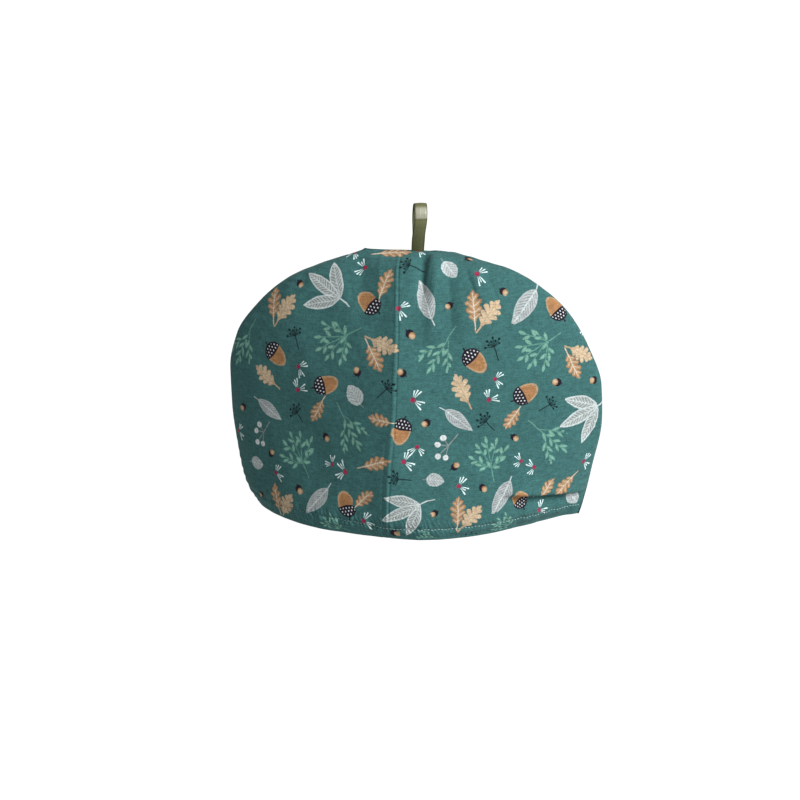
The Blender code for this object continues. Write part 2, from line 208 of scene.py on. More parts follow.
# ---------------------------------------------------------------- the surface of a panel
def smooth_values(known_at, known, wanted_at):
    """Read a table with a curve that passes through its rows without overshooting."""
    gap = np.diff(known_at)
    slope = np.diff(known) / gap
    turn = np.zeros(len(known))
    turn[0], turn[-1] = slope[0], slope[-1]
    rising = slope[:-1] * slope[1:] > 0.0
    before = 2.0 * gap[1:] + gap[:-1]
    after = gap[1:] + 2.0 * gap[:-1]
    with np.errstate(divide="ignore", invalid="ignore"):
        mean = (before + after) / (before / slope[:-1] + after / slope[1:])
    turn[1:-1] = np.where(rising, mean, 0.0)
    row = np.clip(np.searchsorted(known_at, wanted_at) - 1, 0, len(gap) - 1)
    t = (wanted_at - known_at[row]) / gap[row]
    return ((1 + 2 * t) * (1 - t) ** 2 * known[row]
            + t * (1 - t) ** 2 * gap[row] * turn[row]
            + t * t * (3 - 2 * t) * known[row + 1]
            + t * t * (t - 1) * gap[row] * turn[row + 1])


def fade(value, start, end):
    """Smooth step from 0 at start to 1 at end."""
    t = np.clip((value - start) / (end - start), 0.0, 1.0)
    return t * t * (3.0 - 2.0 * t)


def hump(value, width):
    """Rounded bump of height 1 about zero."""
    return np.exp(-(value / width) ** 2)


def crowded(count):
    """Fractions from 0 to 1 that stand closer together at both ends."""
    t = np.linspace(0.0, 1.0, count + 1)
    return t - COLUMN_CROWDING * np.sin(2.0 * math.pi * t) / (2.0 * math.pi)


def row_heights():
    """Heights of the rows: even ones by the hem, then even steps of the angle up the dome."""
    hem = np.linspace(HEM_RADIUS, HEM_ZONE, HEM_ROWS)
    angles = np.linspace(math.asin(HEM_ZONE / BODY_HEIGHT), math.pi / 2, DOME_ROWS + 1)[1:]
    return np.concatenate([hem, BODY_HEIGHT * np.sin(angles)])


def crease_x(z):
    """Where the pressed crease stands at a height."""
    return CREASE_X + CREASE_BOW * fade(z, *CREASE_BOW_FOOT) * fade(z, *CREASE_BOW_HEAD)


def section_points(section, side):
    """Points of one level section, with one of them on the crease."""
    angle = np.linspace(0.0, math.pi, SECTION_STEPS)
    across = -np.cos(angle)
    on_left = across < 0.0
    half_width = np.where(on_left, section.left, section.right)
    ridge = np.where(on_left, section.left_ridge, section.right_ridge)
    depth = section.front if side < 0 else section.back
    x = across * half_width
    rise = np.abs(np.sin(angle)) ** (2.0 * ridge)
    crease = crease_x(section.height)
    if side < 0:
        reach = np.where(x < crease, section.left + crease, section.right - crease)
        straight = 1.0 - np.abs(x - crease) / reach
        rise = rise + (straight - rise) * section.flat
    y = side * depth * rise
    along = np.concatenate([[0.0], np.cumsum(np.hypot(np.diff(x), np.diff(y)))])
    crease_at = np.interp(crease, x, along)
    left_part = crowded(LEFT_COLUMNS) * crease_at
    right_part = crease_at + crowded(RIGHT_COLUMNS) * (along[-1] - crease_at)
    wanted = np.concatenate([left_part, right_part[1:]])
    return np.interp(wanted, along, x), np.interp(wanted, along, y)


def plain_points(side):
    """Grid of points of the panel before its folds: rows up, columns left to right."""
    heights = row_heights()
    table = np.array(SECTIONS)
    columns = [smooth_values(table[:, 0], column, heights) for column in table.T[1:]]
    grid = np.zeros((len(heights), COLUMNS, 3))
    for row, height in enumerate(heights):
        section = Section(height, *[column[row] for column in columns])
        grid[row, :, 0], grid[row, :, 1] = section_points(section, side)
        grid[row, :, 2] = height
    return grid


def unit(vectors):
    """Vectors of length 1."""
    return vectors / np.maximum(np.linalg.norm(vectors, axis=-1, keepdims=True), 1e-9)


def grid_normals(grid, side):
    """Outward directions of a grid of points, level along the hem."""
    normal = unit(np.cross(np.gradient(grid, axis=1), np.gradient(grid, axis=0)) * -side)
    normal[:, :, 2] *= fade(grid[:, :, 2], HEM_RADIUS, LEVEL_ZONE)
    return unit(normal)


def fold_height(fold, x, z):
    """Height of one soft fold at points seen from the front."""
    run = np.array([fold.x_end - fold.x_start, fold.z_end - fold.z_start])
    length = np.hypot(*run)
    run = run / length
    along = ((x - fold.x_start) * run[0] + (z - fold.z_start) * run[1]) / length
    over = -(x - fold.x_start) * run[1] + (z - fold.z_start) * run[0]
    ends = fade(along, *FOLD_START_FADE) * fade(along, *FOLD_END_FADE)
    ridge = fold.lift * hump(over, fold.width)
    rise = np.tanh(over / (STEP_RISE * fold.width))
    shelf = rise * np.exp(-np.abs(over) / fold.width)
    return (ridge + 0.5 * fold.step * shelf) * ends


def crease_tent(x, z):
    """The two flat halves of the front that meet at the pressed crease."""
    tent = CREASE_PEAK * np.exp(-np.abs(x - crease_x(z)) / CREASE_SPREAD)
    return tent * fade(z, 0.0, LEVEL_ZONE) * fade(z, *CREASE_HEAD_FADE)


def crease_lines(x, z):
    """The sharp fold on the crease and the thin hollows beside it."""
    total = np.zeros_like(x)
    for line in CREASE_LINES:
        foot = fade(z, line.foot - CREASE_LINE_FOOT_FADE, line.foot + CREASE_LINE_FOOT_FADE)
        top = fade(z, line.top, line.top - CREASE_LINE_TOP_FADE)
        ridge = hump(x - crease_x(z) - line.offset, line.width)
        total += line.height * ridge * (foot * top)
    return total


def swell_height(x, z, side):
    """Slow unevenness of the wadding, other on the back than on the front."""
    total = np.zeros_like(x)
    for swell in SWELLS:
        across = 2.0 * math.pi * swell.waves_across * x / BODY_WIDTH
        up = 2.0 * math.pi * swell.waves_up * z / BODY_HEIGHT
        total += swell.height * np.sin(across + swell.turn * side) * np.cos(up + swell.turn)
    return total


def ripple_height(across_mm, up_mm, side):
    """Small ripples that come and go in patches."""
    total = np.zeros_like(across_mm)
    for ripple in RIPPLES:
        heading = math.radians(ripple.heading)
        along = across_mm * math.cos(heading) + up_mm * math.sin(heading)
        athwart = up_mm * math.cos(heading) - across_mm * math.sin(heading)
        patch = 0.5 + 0.5 * np.sin(2.0 * math.pi * athwart / RIPPLE_PATCH_MM + ripple.turn * side)
        wave = np.sin(2.0 * math.pi * along / ripple.length_mm + ripple.turn)
        total += ripple.height * patch * wave
    return total


def hem_line(across_mm):
    """Height in mm of the row of stitches above the hem edge."""
    return HEM_LINE_MM + HEM_LINE_RISE_MM * fade(across_mm, *HEM_LINE_RISE_AT_MM)


def hem_height(across_mm, up_mm):
    """The groove that the hem stitches pull, the puckers along it and the curl of the edge."""
    above_line = up_mm - hem_line(across_mm)
    groove = -HEM_LINE_DEPTH * hump(above_line, HEM_LINE_WIDTH_MM)
    groove = groove - HEM_ROLL * fade(above_line, *HEM_ROLL_AT_MM)
    drift = sum(d.radians * np.sin(across_mm / d.length_mm) for d in PUCKER_DRIFTS)
    wave = np.cos(math.pi * (across_mm - PUCKER_STRONG_AT_MM) / PUCKER_PERIOD_MM) ** 2
    strength = PUCKER_WEAKEST + (1.0 - PUCKER_WEAKEST) * wave
    pucker = np.sin(2.0 * math.pi * across_mm / PUCKER_LENGTH_MM + drift) * strength
    return groove + PUCKER_HEIGHT * pucker * hump(above_line, PUCKER_REACH_MM)


def seam_pucker_height(depth, up_mm, side):
    """Short puckers that run in from the side seams."""
    start = fade(depth, 0.0, SEAM_PUCKER_START)
    reach = hump(depth - SEAM_PUCKER_START, SEAM_PUCKER_REACH) * start
    drift = SEAM_PUCKER_DRIFT.radians * np.sin(up_mm / SEAM_PUCKER_DRIFT.length_mm + side)
    wave = np.sin(2.0 * math.pi * up_mm / SEAM_PUCKER_LENGTH_MM + drift)
    return SEAM_PUCKER_HEIGHT * reach * wave


class Panel:
    """One side of the cosy: its outer and inner surface, and the flat cloth it was cut from."""

    def __init__(self, side):
        self.side = side
        self.plain = plain_points(side)
        self.normals = grid_normals(self.plain, side)
        steps = np.linalg.norm(np.diff(self.plain, axis=1), axis=2)
        across = np.concatenate([np.zeros((len(self.plain), 1)), np.cumsum(steps, axis=1)], axis=1)
        bow = crease_x(self.plain[:, CREASE_COLUMN:CREASE_COLUMN + 1, 2]) - CREASE_X
        self.across_mm = 1000.0 * (across - across[:, CREASE_COLUMN:CREASE_COLUMN + 1] + bow)
        rise = np.linalg.norm(np.diff(self.plain[:, CREASE_COLUMN], axis=0), axis=1)
        self.up_mm = 1000.0 * (HEM_RADIUS + np.concatenate([[0.0], np.cumsum(rise)]))
        self.shape_surfaces()

    def shape_surfaces(self):
        """Work out the outer and inner points with their folds."""
        side = self.side
        x, z = self.plain[:, :, 0], self.plain[:, :, 2]
        depth = np.abs(self.plain[:, :, 1])
        up_mm = np.broadcast_to(self.up_mm[:, None], x.shape)
        coarse = swell_height(x, z, side)
        for fold in (FRONT_FOLDS if side < 0 else BACK_FOLDS):
            coarse = coarse + fold_height(fold, x, z)
        fine = hem_height(self.across_mm, up_mm) + ripple_height(self.across_mm, up_mm, side)
        fine = fine + seam_pucker_height(depth, up_mm, side)
        if side < 0:
            coarse = coarse + crease_tent(x, z)
            fine = fine + crease_lines(x, z)
            for crease in FRONT_CREASES:
                fine = fine + fold_height(crease, x, z)
        from_seam = fade(depth, 0.0, FOLD_FADE)
        roll = SEAM_GROOVE * hump(depth, SEAM_GROOVE_WIDTH)
        self.wall = WALL * fade(depth, 0.0, WALL_FADE)
        self.outer = self.plain + self.normals * ((coarse + fine) * from_seam - roll)[:, :, None]
        sink = (HEM_RADIUS - self.wall / 2) * fade(z, LEVEL_ZONE, HEM_RADIUS)
        self.outer[:, :, 2] -= sink
        inner = self.plain + self.normals * (coarse * from_seam - roll - self.wall)[:, :, None]
        inner[:, :, 2] -= sink
        self.inner = inner

    def rim(self):
        """Rows of the rounded hem edge, from the outer surface down and round to the inner."""
        start, end = self.outer[0], self.inner[0]
        centre = (start + end) / 2
        arm = (start - end) / 2
        rows = []
        for turn in np.linspace(0.0, math.pi, RIM_ROWS + 2)[1:-1]:
            row = centre + arm * math.cos(turn)
            row[:, 2] -= self.wall[0] / 2 * math.sin(turn)
            rows.append(row)
        return np.array(rows)

    def place(self, across_mm, up_mm, grid=None):
        """Point in mm and the cloth's three directions at a place on a grid of the panel; past
        the panel's edges the cloth is taken to run on straight."""
        grid = self.plain if grid is None else grid
        across_in = across_mm
        up_in = float(np.clip(up_mm, self.up_mm[0] + PROBE_MM, self.up_mm[-1] - PROBE_MM))
        found = []
        for step_across, step_up in ((0, 0), (1, 0), (-1, 0), (0, 1), (0, -1)):
            up_at = up_in + step_up * PROBE_MM
            row = int(np.clip(np.searchsorted(self.up_mm, up_at) - 1, 0, len(self.up_mm) - 2))
            share = (up_at - self.up_mm[row]) / (self.up_mm[row + 1] - self.up_mm[row])
            line = (1 - share) * grid[row] + share * grid[row + 1]
            marks = (1 - share) * self.across_mm[row] + share * self.across_mm[row + 1]
            if not found:
                across_in = float(np.clip(across_mm, marks[0] + PROBE_EDGE_MM,
                                          marks[-1] - PROBE_EDGE_MM))
            at = across_in + step_across * PROBE_MM
            found.append(np.array([np.interp(at, marks, line[:, k]) for k in range(3)]) * 1000.0)
        point = found[0]
        east = unit(found[1] - found[2])
        out = unit(np.cross(east, found[3] - found[4])) * -self.side
        north = np.cross(out, east) * -self.side
        point = point + (across_mm - across_in) * east + (up_mm - up_in) * north
        return point, east, north, out


# ---------------------------------------------------------------- the print's repeat
# Ordinary leaves, acorns and flowers, strewn over one repeat that was charted.  across
# and up give a motif's own origin in mm, turn is in degrees from upright towards the left, and
# a size below zero turns the motif over.
Motif = namedtuple("Motif", "kind across up turn size")
REPEAT_WIDTH_MM = 176.0      # at the hem
REPEAT_SPREAD = 0.085        # how much wider it is for each mm further up
REPEAT_RISE_MM = 8.0         # the cloth was cut a little off its grain
LEFT_TURN = 12.0             # and twists round towards the left seam
LEFT_EASE, LEFT_EASE_FROM_MM = 0.19, 115.0    # where it was also drawn out
LEFT_SAG = 0.9               # and down, in parts of how far it was drawn out
MOTIFS = (
    Motif("oak_leaf", -5, 271, -80, 1.05),
    Motif("daisy", 17, 276, -98, 0.95),
    Motif("umbel", 12, 253, 75, 1.05),
    Motif("daisy", -30, 249, 92, 1.1),
    Motif("daisy", -43, 264, 180, 0.9),
    Motif("short_leaf", 48, 250, -147, 1.25),
    Motif("small_nut", 67, 259, 90, 1.0),
    Motif("daisy", 72, 244, -108, 1.1),
    Motif("oak_leaf", -9, 234, -12, 0.95),
    Motif("small_nut", -93, 225, 60, 1.0),
    Motif("triple_leaf", -50, 217, 62, 1.05),
    Motif("acorn", -21, 215, -124, 1.12),
    Motif("long_leaf", 28, 222, 16, 1.0),
    Motif("small_nut", 49, 216, -55, 0.85),
    Motif("daisy", 5, 213, -105, 1.1),
    Motif("oak_pair", 75, 191, 2, 1.0),
    Motif("small_nut", 17, 190, 50, 1.05),
    Motif("oak_pair", -25, 187, -147, -0.95),
    Motif("round_sprig", -29, 193, 120, 1.18),
    Motif("umbel", -94, 179, 25, 1.0),
    Motif("slim_sprig", 56, 198, 147, 1.0),
    Motif("acorn", 73, 169, 45, 1.12),
    Motif("small_nut", -31, 155, -150, 1.0),
    Motif("small_nut", 10, 157, -120, 1.0),
    Motif("daisy", -91, 152, -105, 1.1),
    Motif("pale_oak_leaf", 65, 142, 27, 1.0),
    Motif("umbel", -2, 141, -40, 0.95),
    Motif("acorn", -64, 139, 112, 1.1),
    Motif("short_leaf", -33, 134, 41, 1.35),
    Motif("daisy", 21, 133, -75, 1.15),
    Motif("daisy", -92, 131, -20, 1.1),
    Motif("slim_sprig", -51, 125, -146, 1.0),
    Motif("oak_leaf", -70, 116, 155, 0.85),
    Motif("long_leaf", 63, 115, -129, 0.84),
    Motif("oak_leaf", -6, 113, 86, 0.8),
    Motif("small_nut", 33, 113, -60, 1.0),
    Motif("umbel", -93, 109, 45, 1.0),
    Motif("acorn", 12, 107, -13, 1.06),
    Motif("small_nut", -61, 91, 40, 0.95),
    Motif("berries", 54, 90, 0, 1.05),
    Motif("daisy", 26, 91, 175, 1.0),
    Motif("daisy", 14, 77, -75, 1.15),
    Motif("oak_leaf", -11, 73, -68, 0.92),
    Motif("small_nut", 61, 73, 130, 0.95),
    Motif("daisy", -54, 67, 50, 0.88),
    Motif("umbel", 10, 61, 85, 1.0),
    Motif("daisy", -40, 62, 85, 1.15),
    Motif("short_leaf", 43, 60, -98, 1.08),
    Motif("daisy", 64, 54, -80, 1.05),
    Motif("round_sprig", -78, 50, 33, 1.12),
    Motif("triple_leaf", 30, 37, 115, 0.93),
    Motif("oak_leaf", -22, 38, -43, 0.85),
    Motif("small_nut", -88, 36, 40, 1.05),
    Motif("acorn", -38, 29, -163, 1.08),
    Motif("long_leaf", -69, 29, 142, 0.95),
    Motif("small_nut", 42, 28, -60, 0.9),
    Motif("daisy", -22, 17, -75, 1.1),
    Motif("round_sprig", -37, 4, 82, 0.7),
    Motif("oak_pair", 64, 7, -1, 0.92),
    Motif("small_nut", 8, 7, 80, 1.1),
    Motif("umbel", 77, -2, 5, 0.9),
    Motif("slim_sprig", 52, 2, 84, 0.55),
)
# The cloth at the sides of the front, which was eased round the form, on a chart of its own
LEFT_SHOWN_MM = 30.0         # of the repeat at the left only what lies past this line shows
SIDE_MOTIFS = (
    Motif("pale_oak_leaf", -127, 137, 60, 0.93),
    Motif("daisy", -170, 72, -80, 1.0),
    Motif("small_nut", 98, 227, 60, 1.0),
    Motif("long_leaf", 118, 212, 139, 1.12),
    Motif("acorn", 151, 206, -152, 1.08),
    Motif("daisy", 183, 186, 85, 1.0),
    Motif("round_sprig", 154, 186, 114, 1.15),
    Motif("umbel", 92, 179, 20, 1.0),
    Motif("oak_pair", 158, 175, -158, -0.9),
    Motif("daisy", 94, 151, -95, 0.92),
    Motif("small_nut", 152, 143, -105, 1.0),
    Motif("small_nut", 190, 138, -90, 1.0),
    Motif("acorn", 121, 135, 118, 1.1),
    Motif("daisy", 89, 133, -35, 1.0),
    Motif("umbel", 146, 123, -60, 0.95),
    Motif("oak_leaf", 112, 115, 143, 0.82),
    Motif("umbel", 88, 113, 45, 1.0),
    Motif("triple_leaf", 199, 112, 107, 1.06),
    Motif("slim_sprig", 127, 111, -133, 1.05),
    Motif("small_nut", 115, 96, 55, 0.9),
    Motif("daisy", 122, 73, 80, 0.82),
    Motif("daisy", 135, 65, 95, 0.92),
    Motif("daisy", 189, 59, -90, 1.05),
    Motif("round_sprig", 97, 56, 9, 1.02),
    Motif("small_nut", 87, 50, 50, 0.95),
    Motif("long_leaf", 104, 38, 152, 1.0),
    Motif("oak_leaf", 149, 41, -42, 0.74),
    Motif("oak_leaf", 170, 41, 128, 0.9),
    Motif("acorn", 125, 32, -152, 0.95),
    Motif("short_leaf", 186, 20, -135, 1.15),
    Motif("daisy", 146, 17, -60, 1.05),
    Motif("round_sprig", 125, 5, 76, 0.72),
)
HANG_MM = 3.5                # how much lower the cloth hangs in the middle of each flat half
HANG_MIDDLE_MM, HANG_SPREAD_MM = 115.0, 75.0
HANG_END_MM = 195.0          # where that has died away again, from the crease
REACH_SPARE = 1.25           # a motif is looked for this many times as far out as it reaches


def next_repeat(motif, side):
    """The motif's fellow in the repeat to the left, side -1, or to the right, side 1."""
    pitch = REPEAT_WIDTH_MM + REPEAT_SPREAD * motif.up
    return motif._replace(across=motif.across + side * pitch, up=motif.up + side * REPEAT_RISE_MM)


def drawn_out(motif):
    """The motif where the cloth was drawn out and twisted towards the left seam."""
    extra = LEFT_EASE * max(0.0, -LEFT_EASE_FROM_MM - motif.across)
    return motif._replace(across=motif.across - extra, up=motif.up - extra * LEFT_SAG,
                          turn=motif.turn + LEFT_TURN)


def hung(motif):
    """The motif where it lies once the front hangs in two flat halves."""
    half = math.sin(math.pi * min(abs(motif.across) / HANG_END_MM, 1.0))
    drop = HANG_MM * half * math.exp(-((motif.up - HANG_MIDDLE_MM) / HANG_SPREAD_MM) ** 2)
    return motif._replace(up=motif.up - drop)


def printed_motifs(side):
    """Every motif of the front, side -1, or of the back, side 1."""
    if side > 0:
        return [motif if step == 0 else next_repeat(motif, step)
                for step in (-1, 0, 1) for motif in MOTIFS]
    left = [drawn_out(next_repeat(motif, -1)) for motif in MOTIFS
            if motif.across > LEFT_SHOWN_MM and motif.kind != "pale_oak_leaf"]
    return [hung(motif) for motif in (*left, *MOTIFS, *SIDE_MOTIFS)]


def own_coordinates(motif, panel, points_mm):
    """Each point's place in the motif's own drawing, and its distance from the motif."""
    origin, east, north, _ = panel.place(motif.across, motif.up)
    arm = points_mm - origin
    away = np.linalg.norm(arm, axis=-1)
    right, up = arm @ east, arm @ north
    turn = math.radians(motif.turn)
    x = (right * math.cos(turn) + up * math.sin(turn)) / motif.size
    y = (up * math.cos(turn) - right * math.sin(turn)) / abs(motif.size)
    return x, y, away


def lay_motifs(panel):
    """For each face of the outer grid the kind of motif on it, 0 for none, and for each of its
    corners the place in that motif's own drawing."""
    points = panel.plain * 1000.0
    rows, columns = points.shape[:2]
    nearest = np.ones((rows - 1, columns - 1))
    kinds = np.zeros((rows - 1, columns - 1), dtype=np.int32)
    places = np.zeros((rows - 1, columns - 1, 2, 2, 2))
    numbers = {kind: number for number, kind in enumerate(KINDS, start=1)}
    for motif in printed_motifs(panel.side):
        x, y, away = own_coordinates(motif, panel, points)
        extent = KINDS[motif.kind]
        far = max(math.hypot(a, b) for a in (extent.left, extent.right)
                  for b in (extent.low, extent.high))
        reach = REACH_SPARE * abs(motif.size) * far
        own = np.stack([x, y], axis=-1)
        corners = np.stack([np.stack([own[:-1, :-1], own[:-1, 1:]], axis=2),
                            np.stack([own[1:, :-1], own[1:, 1:]], axis=2)], axis=2)
        middle = corners.mean(axis=(2, 3))
        half = np.array([extent.right - extent.left, extent.high - extent.low]) / 2
        centre = np.array([extent.right + extent.left, extent.high + extent.low]) / 2
        share = np.abs((middle - centre) / half).max(axis=-1)
        share[away[:-1, :-1] > reach] = np.inf
        better = share < nearest
        nearest[better] = share[better]
        kinds[better] = numbers[motif.kind]
        places[better] = corners[better]
    return kinds, places


# ---------------------------------------------------------------- numbers drawn on the cloth
class Ink:
    """A number that varies over the cloth: a socket of a node tree that sums act on."""

    def __init__(self, tree, socket):
        self.tree = tree
        self.socket = socket

    def __add__(self, other):
        return work(self.tree, "ADD", self, other)

    def __sub__(self, other):
        return work(self.tree, "SUBTRACT", self, other)

    def __rsub__(self, other):
        return work(self.tree, "SUBTRACT", other, self)

    def __mul__(self, other):
        return work(self.tree, "MULTIPLY", self, other)

    def __pow__(self, other):
        return work(self.tree, "POWER", self, other)

    def __abs__(self):
        return work(self.tree, "ABSOLUTE", self)


def plug(tree, socket, value):
    """Join a varying number or a socket to an input, or set the input to a constant."""
    if isinstance(value, Ink):
        tree.links.new(value.socket, socket)
    elif isinstance(value, bpy.types.NodeSocket):
        tree.links.new(value, socket)
    else:
        socket.default_value = value


def work(tree, operation, *values, clamp=False):
    """One Math node."""
    node = tree.nodes.new("ShaderNodeMath")
    node.operation = operation
    node.use_clamp = clamp
    for socket, value in zip(node.inputs, values):
        plug(tree, socket, value)
    return Ink(tree, node.outputs[0])


def sine(value):
    return work(value.tree, "SINE", value)


def part_of_one(value):
    """What is left over after whole numbers."""
    return work(value.tree, "FRACT", value)


def whole(value):
    return work(value.tree, "FLOOR", value)


def least(a, b):
    return work(a.tree, "MINIMUM", a, b)


def most(a, b):
    return work(a.tree, "MAXIMUM", a, b)


def above(value, limit):
    """1 where the value is over the limit, 0 elsewhere."""
    return work(value.tree, "GREATER_THAN", value, limit)


def span(x, y):
    """Length of the hypotenuse."""
    return (x * x + y * y) ** 0.5


def compass(x, y):
    """Degrees by which a point lies to the right of straight up."""
    return work(x.tree, "ARCTAN2", x, y) * (180.0 / math.pi)


def off_middle(steps, pitch):
    """Distance from the middle of the step that a count of steps has come to."""
    return (part_of_one(steps) - 0.5) * pitch


def any_of(edges):
    """How far inside one or another of several shapes a point lies."""
    return reduce(most, edges)


PRINT_BLUR_MM = 0.55         # over which a printed edge fades


def cover(edge, blur=PRINT_BLUR_MM):
    """How much of the cloth is covered, from how far inside a shape a point lies, in mm."""
    return work(edge.tree, "MULTIPLY_ADD", edge, 1.0 / blur, 0.5, clamp=True)


def turned(x, y, degrees):
    """Coordinates seen from axes that are turned by an angle, from upright to the left."""
    cos, sin = math.cos(math.radians(degrees)), math.sin(math.radians(degrees))
    return x * cos + y * sin, y * cos - x * sin


def line_edge(x, y, start, end, half_width):
    """How far inside a straight stroke a point lies."""
    run = (end[0] - start[0], end[1] - start[1])
    length = math.hypot(*run)
    ux, uy = run[0] / length, run[1] / length
    dx, dy = x - start[0], y - start[1]
    along = dx * ux + dy * uy
    over = abs(dy * ux - dx * uy)
    past = most(abs(along - length / 2) - length / 2, 0.0)
    return half_width - span(past, over)


def disc_edge(x, y, centre, radius):
    """How far inside a disc a point lies."""
    return radius - span(x - centre[0], y - centre[1])


def oval_edge(x, y, half_width, half_height, radius):
    """About how far inside an oval round the origin a point lies."""
    return (1.0 - span(x * (1.0 / half_width), y * (1.0 / half_height))) * radius


def to_nearest_line(value, pitch):
    """Distance to the nearest of many lines that stand a pitch apart."""
    return abs(part_of_one(value * (1.0 / pitch)) - 0.5) * pitch


Blade = namedtuple("Blade", "length half_width fullness roundness")
BLADE_TRIM_MM = 0.3          # taken off each side of a blade, which leaves its ends pointed


def blade_edge(x, y, blade):
    """How far inside a pointed leaf blade that runs up from the origin a point lies."""
    u = work(y.tree, "MULTIPLY", y, 1.0 / blade.length, clamp=True)
    wide = sine((u ** blade.fullness) * math.pi) ** blade.roundness * blade.half_width
    return wide - BLADE_TRIM_MM - abs(x)


# An oak leaf 31 mm long.  A lobe has a foot on the midrib, a tip and a half width.
OAK_BLADE = Blade(28.0, 3.2, 0.85, 0.8)
Lobe = namedtuple("Lobe", "foot tip_across tip_up radius")
OAK_LOBES = (
    Lobe(4.5, 3.5, 7.6, 1.6),
    Lobe(9.5, 5.0, 13.2, 2.0),
    Lobe(15.0, 5.2, 19.0, 2.1),
    Lobe(20.0, 3.0, 24.0, 1.9),
    Lobe(24.0, 0.1, 27.2, 1.9),
)
OAK_STAGGER_MM = 1.4         # how much further up the right half stands


def oak_edges(x, y):
    """How far inside a lobed leaf a point lies, and how far inside its side veins."""
    y = y - above(x, 0.0) * OAK_STAGGER_MM
    out = abs(x)
    lobes = [line_edge(out, y, (0.0, lobe.foot), (lobe.tip_across, lobe.tip_up), lobe.radius)
             for lobe in OAK_LOBES]
    veins = [edge - lobe.radius for edge, lobe in zip(lobes, OAK_LOBES)]
    return any_of([blade_edge(x, y, OAK_BLADE), *lobes]), any_of(veins)


# ---------------------------------------------------------------- colours
def srgb(red, green, blue):
    """Linear colour from display values of 0 to 255."""
    def linear(value):
        value = value / 255.0
        return value / 12.92 if value <= 0.04045 else ((value + 0.055) / 1.055) ** 2.4
    return (linear(red), linear(green), linear(blue))


def dye_choice(name, description, *display):
    """A colour that a user can change, given by its display values."""
    return FloatVectorProperty(
        name=name, description=description, subtype="COLOR", default=srgb(*display))


class CosyColours(bpy.types.PropertyGroup):
    """Dyes of the cloth, the thread and the ribbon."""

    ground: dye_choice("Ground", "Teal ground of the printed cotton", 56, 100, 99)
    grey: dye_choice("Grey leaf", "Inside of the grey leaves", 136, 144, 142)
    pale: dye_choice("Pale grey", "Rims, stems and petals", 188, 198, 198)
    vein: dye_choice("Vein", "Dark veins of the grey leaves", 118, 118, 128)
    cream: dye_choice("Cream", "Cream oak leaves", 200, 187, 160)
    tan: dye_choice("Tan", "Brown oak leaves", 160, 120, 84)
    nut: dye_choice("Nut", "Acorn nuts", 158, 116, 78)
    cap: dye_choice("Cap", "Dark acorn caps", 28, 24, 36)
    umbel: dye_choice("Seed head", "Dark seed heads", 10, 28, 34)
    green: dye_choice("Leaflet", "Pale green leaflets", 102, 152, 135)
    flower: dye_choice("Flower", "Crimson flower centres", 150, 42, 74)
    thread: dye_choice("Thread", "Sewing thread of the hem", 165, 190, 186)
    ribbon: dye_choice("Ribbon", "Olive satin of the loop", 91, 93, 38)


BLACK = (0.0, 0.0, 0.0)
WHITE = (1.0, 1.0, 1.0)
WARM_WHITE = (1.0, 1.0, 0.9)
COOL_WHITE = (0.82, 1.0, 1.0)


def rgba(colour):
    return (colour[0], colour[1], colour[2], 1.0)


def mixed(a, b, share):
    """A colour between two."""
    return tuple(p + (q - p) * share for p, q in zip(a, b))


def blend(tree, share, a, b):
    """One Mix node: a colour between two, whose share of the second varies over the surface."""
    node = tree.nodes.new("ShaderNodeMix")
    node.data_type = "RGBA"
    for label, value in (("Factor", share), ("A", a), ("B", b)):
        plug(tree, node.inputs[label], value)
    return node.outputs["Result"]


def parts_of(tree, vector):
    """The first two parts of a vector."""
    split = tree.nodes.new("ShaderNodeSeparateXYZ")
    tree.links.new(vector, split.inputs[0])
    return Ink(tree, split.outputs[0]), Ink(tree, split.outputs[1])


# ---------------------------------------------------------------- drawing the motifs
# Every motif is drawn in mm round an origin of its own.  Angles are in degrees to the left of
# upright, and a rim is what an inner colour leaves free of the one under it.
class Drawing:
    """A motif in the making inside a node group: its coordinates and what is laid so far."""

    def __init__(self, tree, place, ground):
        self.tree = tree
        self.x, self.y = parts_of(tree, place)
        self.colour = ground

    def lay(self, mask, colour, share=1.0):
        """Print a colour, or a share of it, over what is there, where the mask covers it."""
        if share != 1.0:
            mask = mask * share
        self.colour = blend(self.tree, mask, self.colour, rgba(colour))


Stroke = namedtuple("Stroke", "start end half_width")
Disc = namedtuple("Disc", "centre radius")
Oval = namedtuple("Oval", "half_width half_height radius")

# Side veins stand a pitch apart along the midrib and rise by the slant for each mm outwards
Veins = namedtuple("Veins", "pitch slant half_width share midrib midrib_share blur")


def lay_veins(drawing, x, y, inside, veins, side_dye, midrib_dye):
    """The side veins and the midrib of a blade that runs up from the origin."""
    barbs = to_nearest_line(y - abs(x) * veins.slant, veins.pitch)
    side = cover(veins.half_width - barbs, veins.blur)
    drawing.lay(side * inside, side_dye, veins.share)
    midrib = cover(veins.midrib - abs(x), veins.blur)
    drawing.lay(midrib * inside, midrib_dye, veins.midrib_share)


LONG_BLADE = Blade(38.5, 7.7, 0.80, 0.92)
LONG_FOOT = -LONG_BLADE.length / 2
LONG_STEM = Stroke((1.2, LONG_FOOT - 6.0), (0.0, LONG_FOOT + 2.0), 0.5)
LONG_RIM = 1.3
LONG_VEINS = Veins(3.1, 1.15, 0.62, 0.72, 0.55, 1.0, 0.5)


def draw_long_leaf(drawing, dyes):
    """A pale leaf with a herringbone of dark veins."""
    x, y = drawing.x, drawing.y
    edge = blade_edge(x, y - LONG_FOOT, LONG_BLADE)
    drawing.lay(cover(line_edge(x, y, *LONG_STEM)), dyes.pale)
    drawing.lay(cover(edge), mixed(dyes.grey, dyes.pale, 0.50))
    lay_veins(drawing, x, y, cover(edge - LONG_RIM), LONG_VEINS, dyes.vein, dyes.pale)


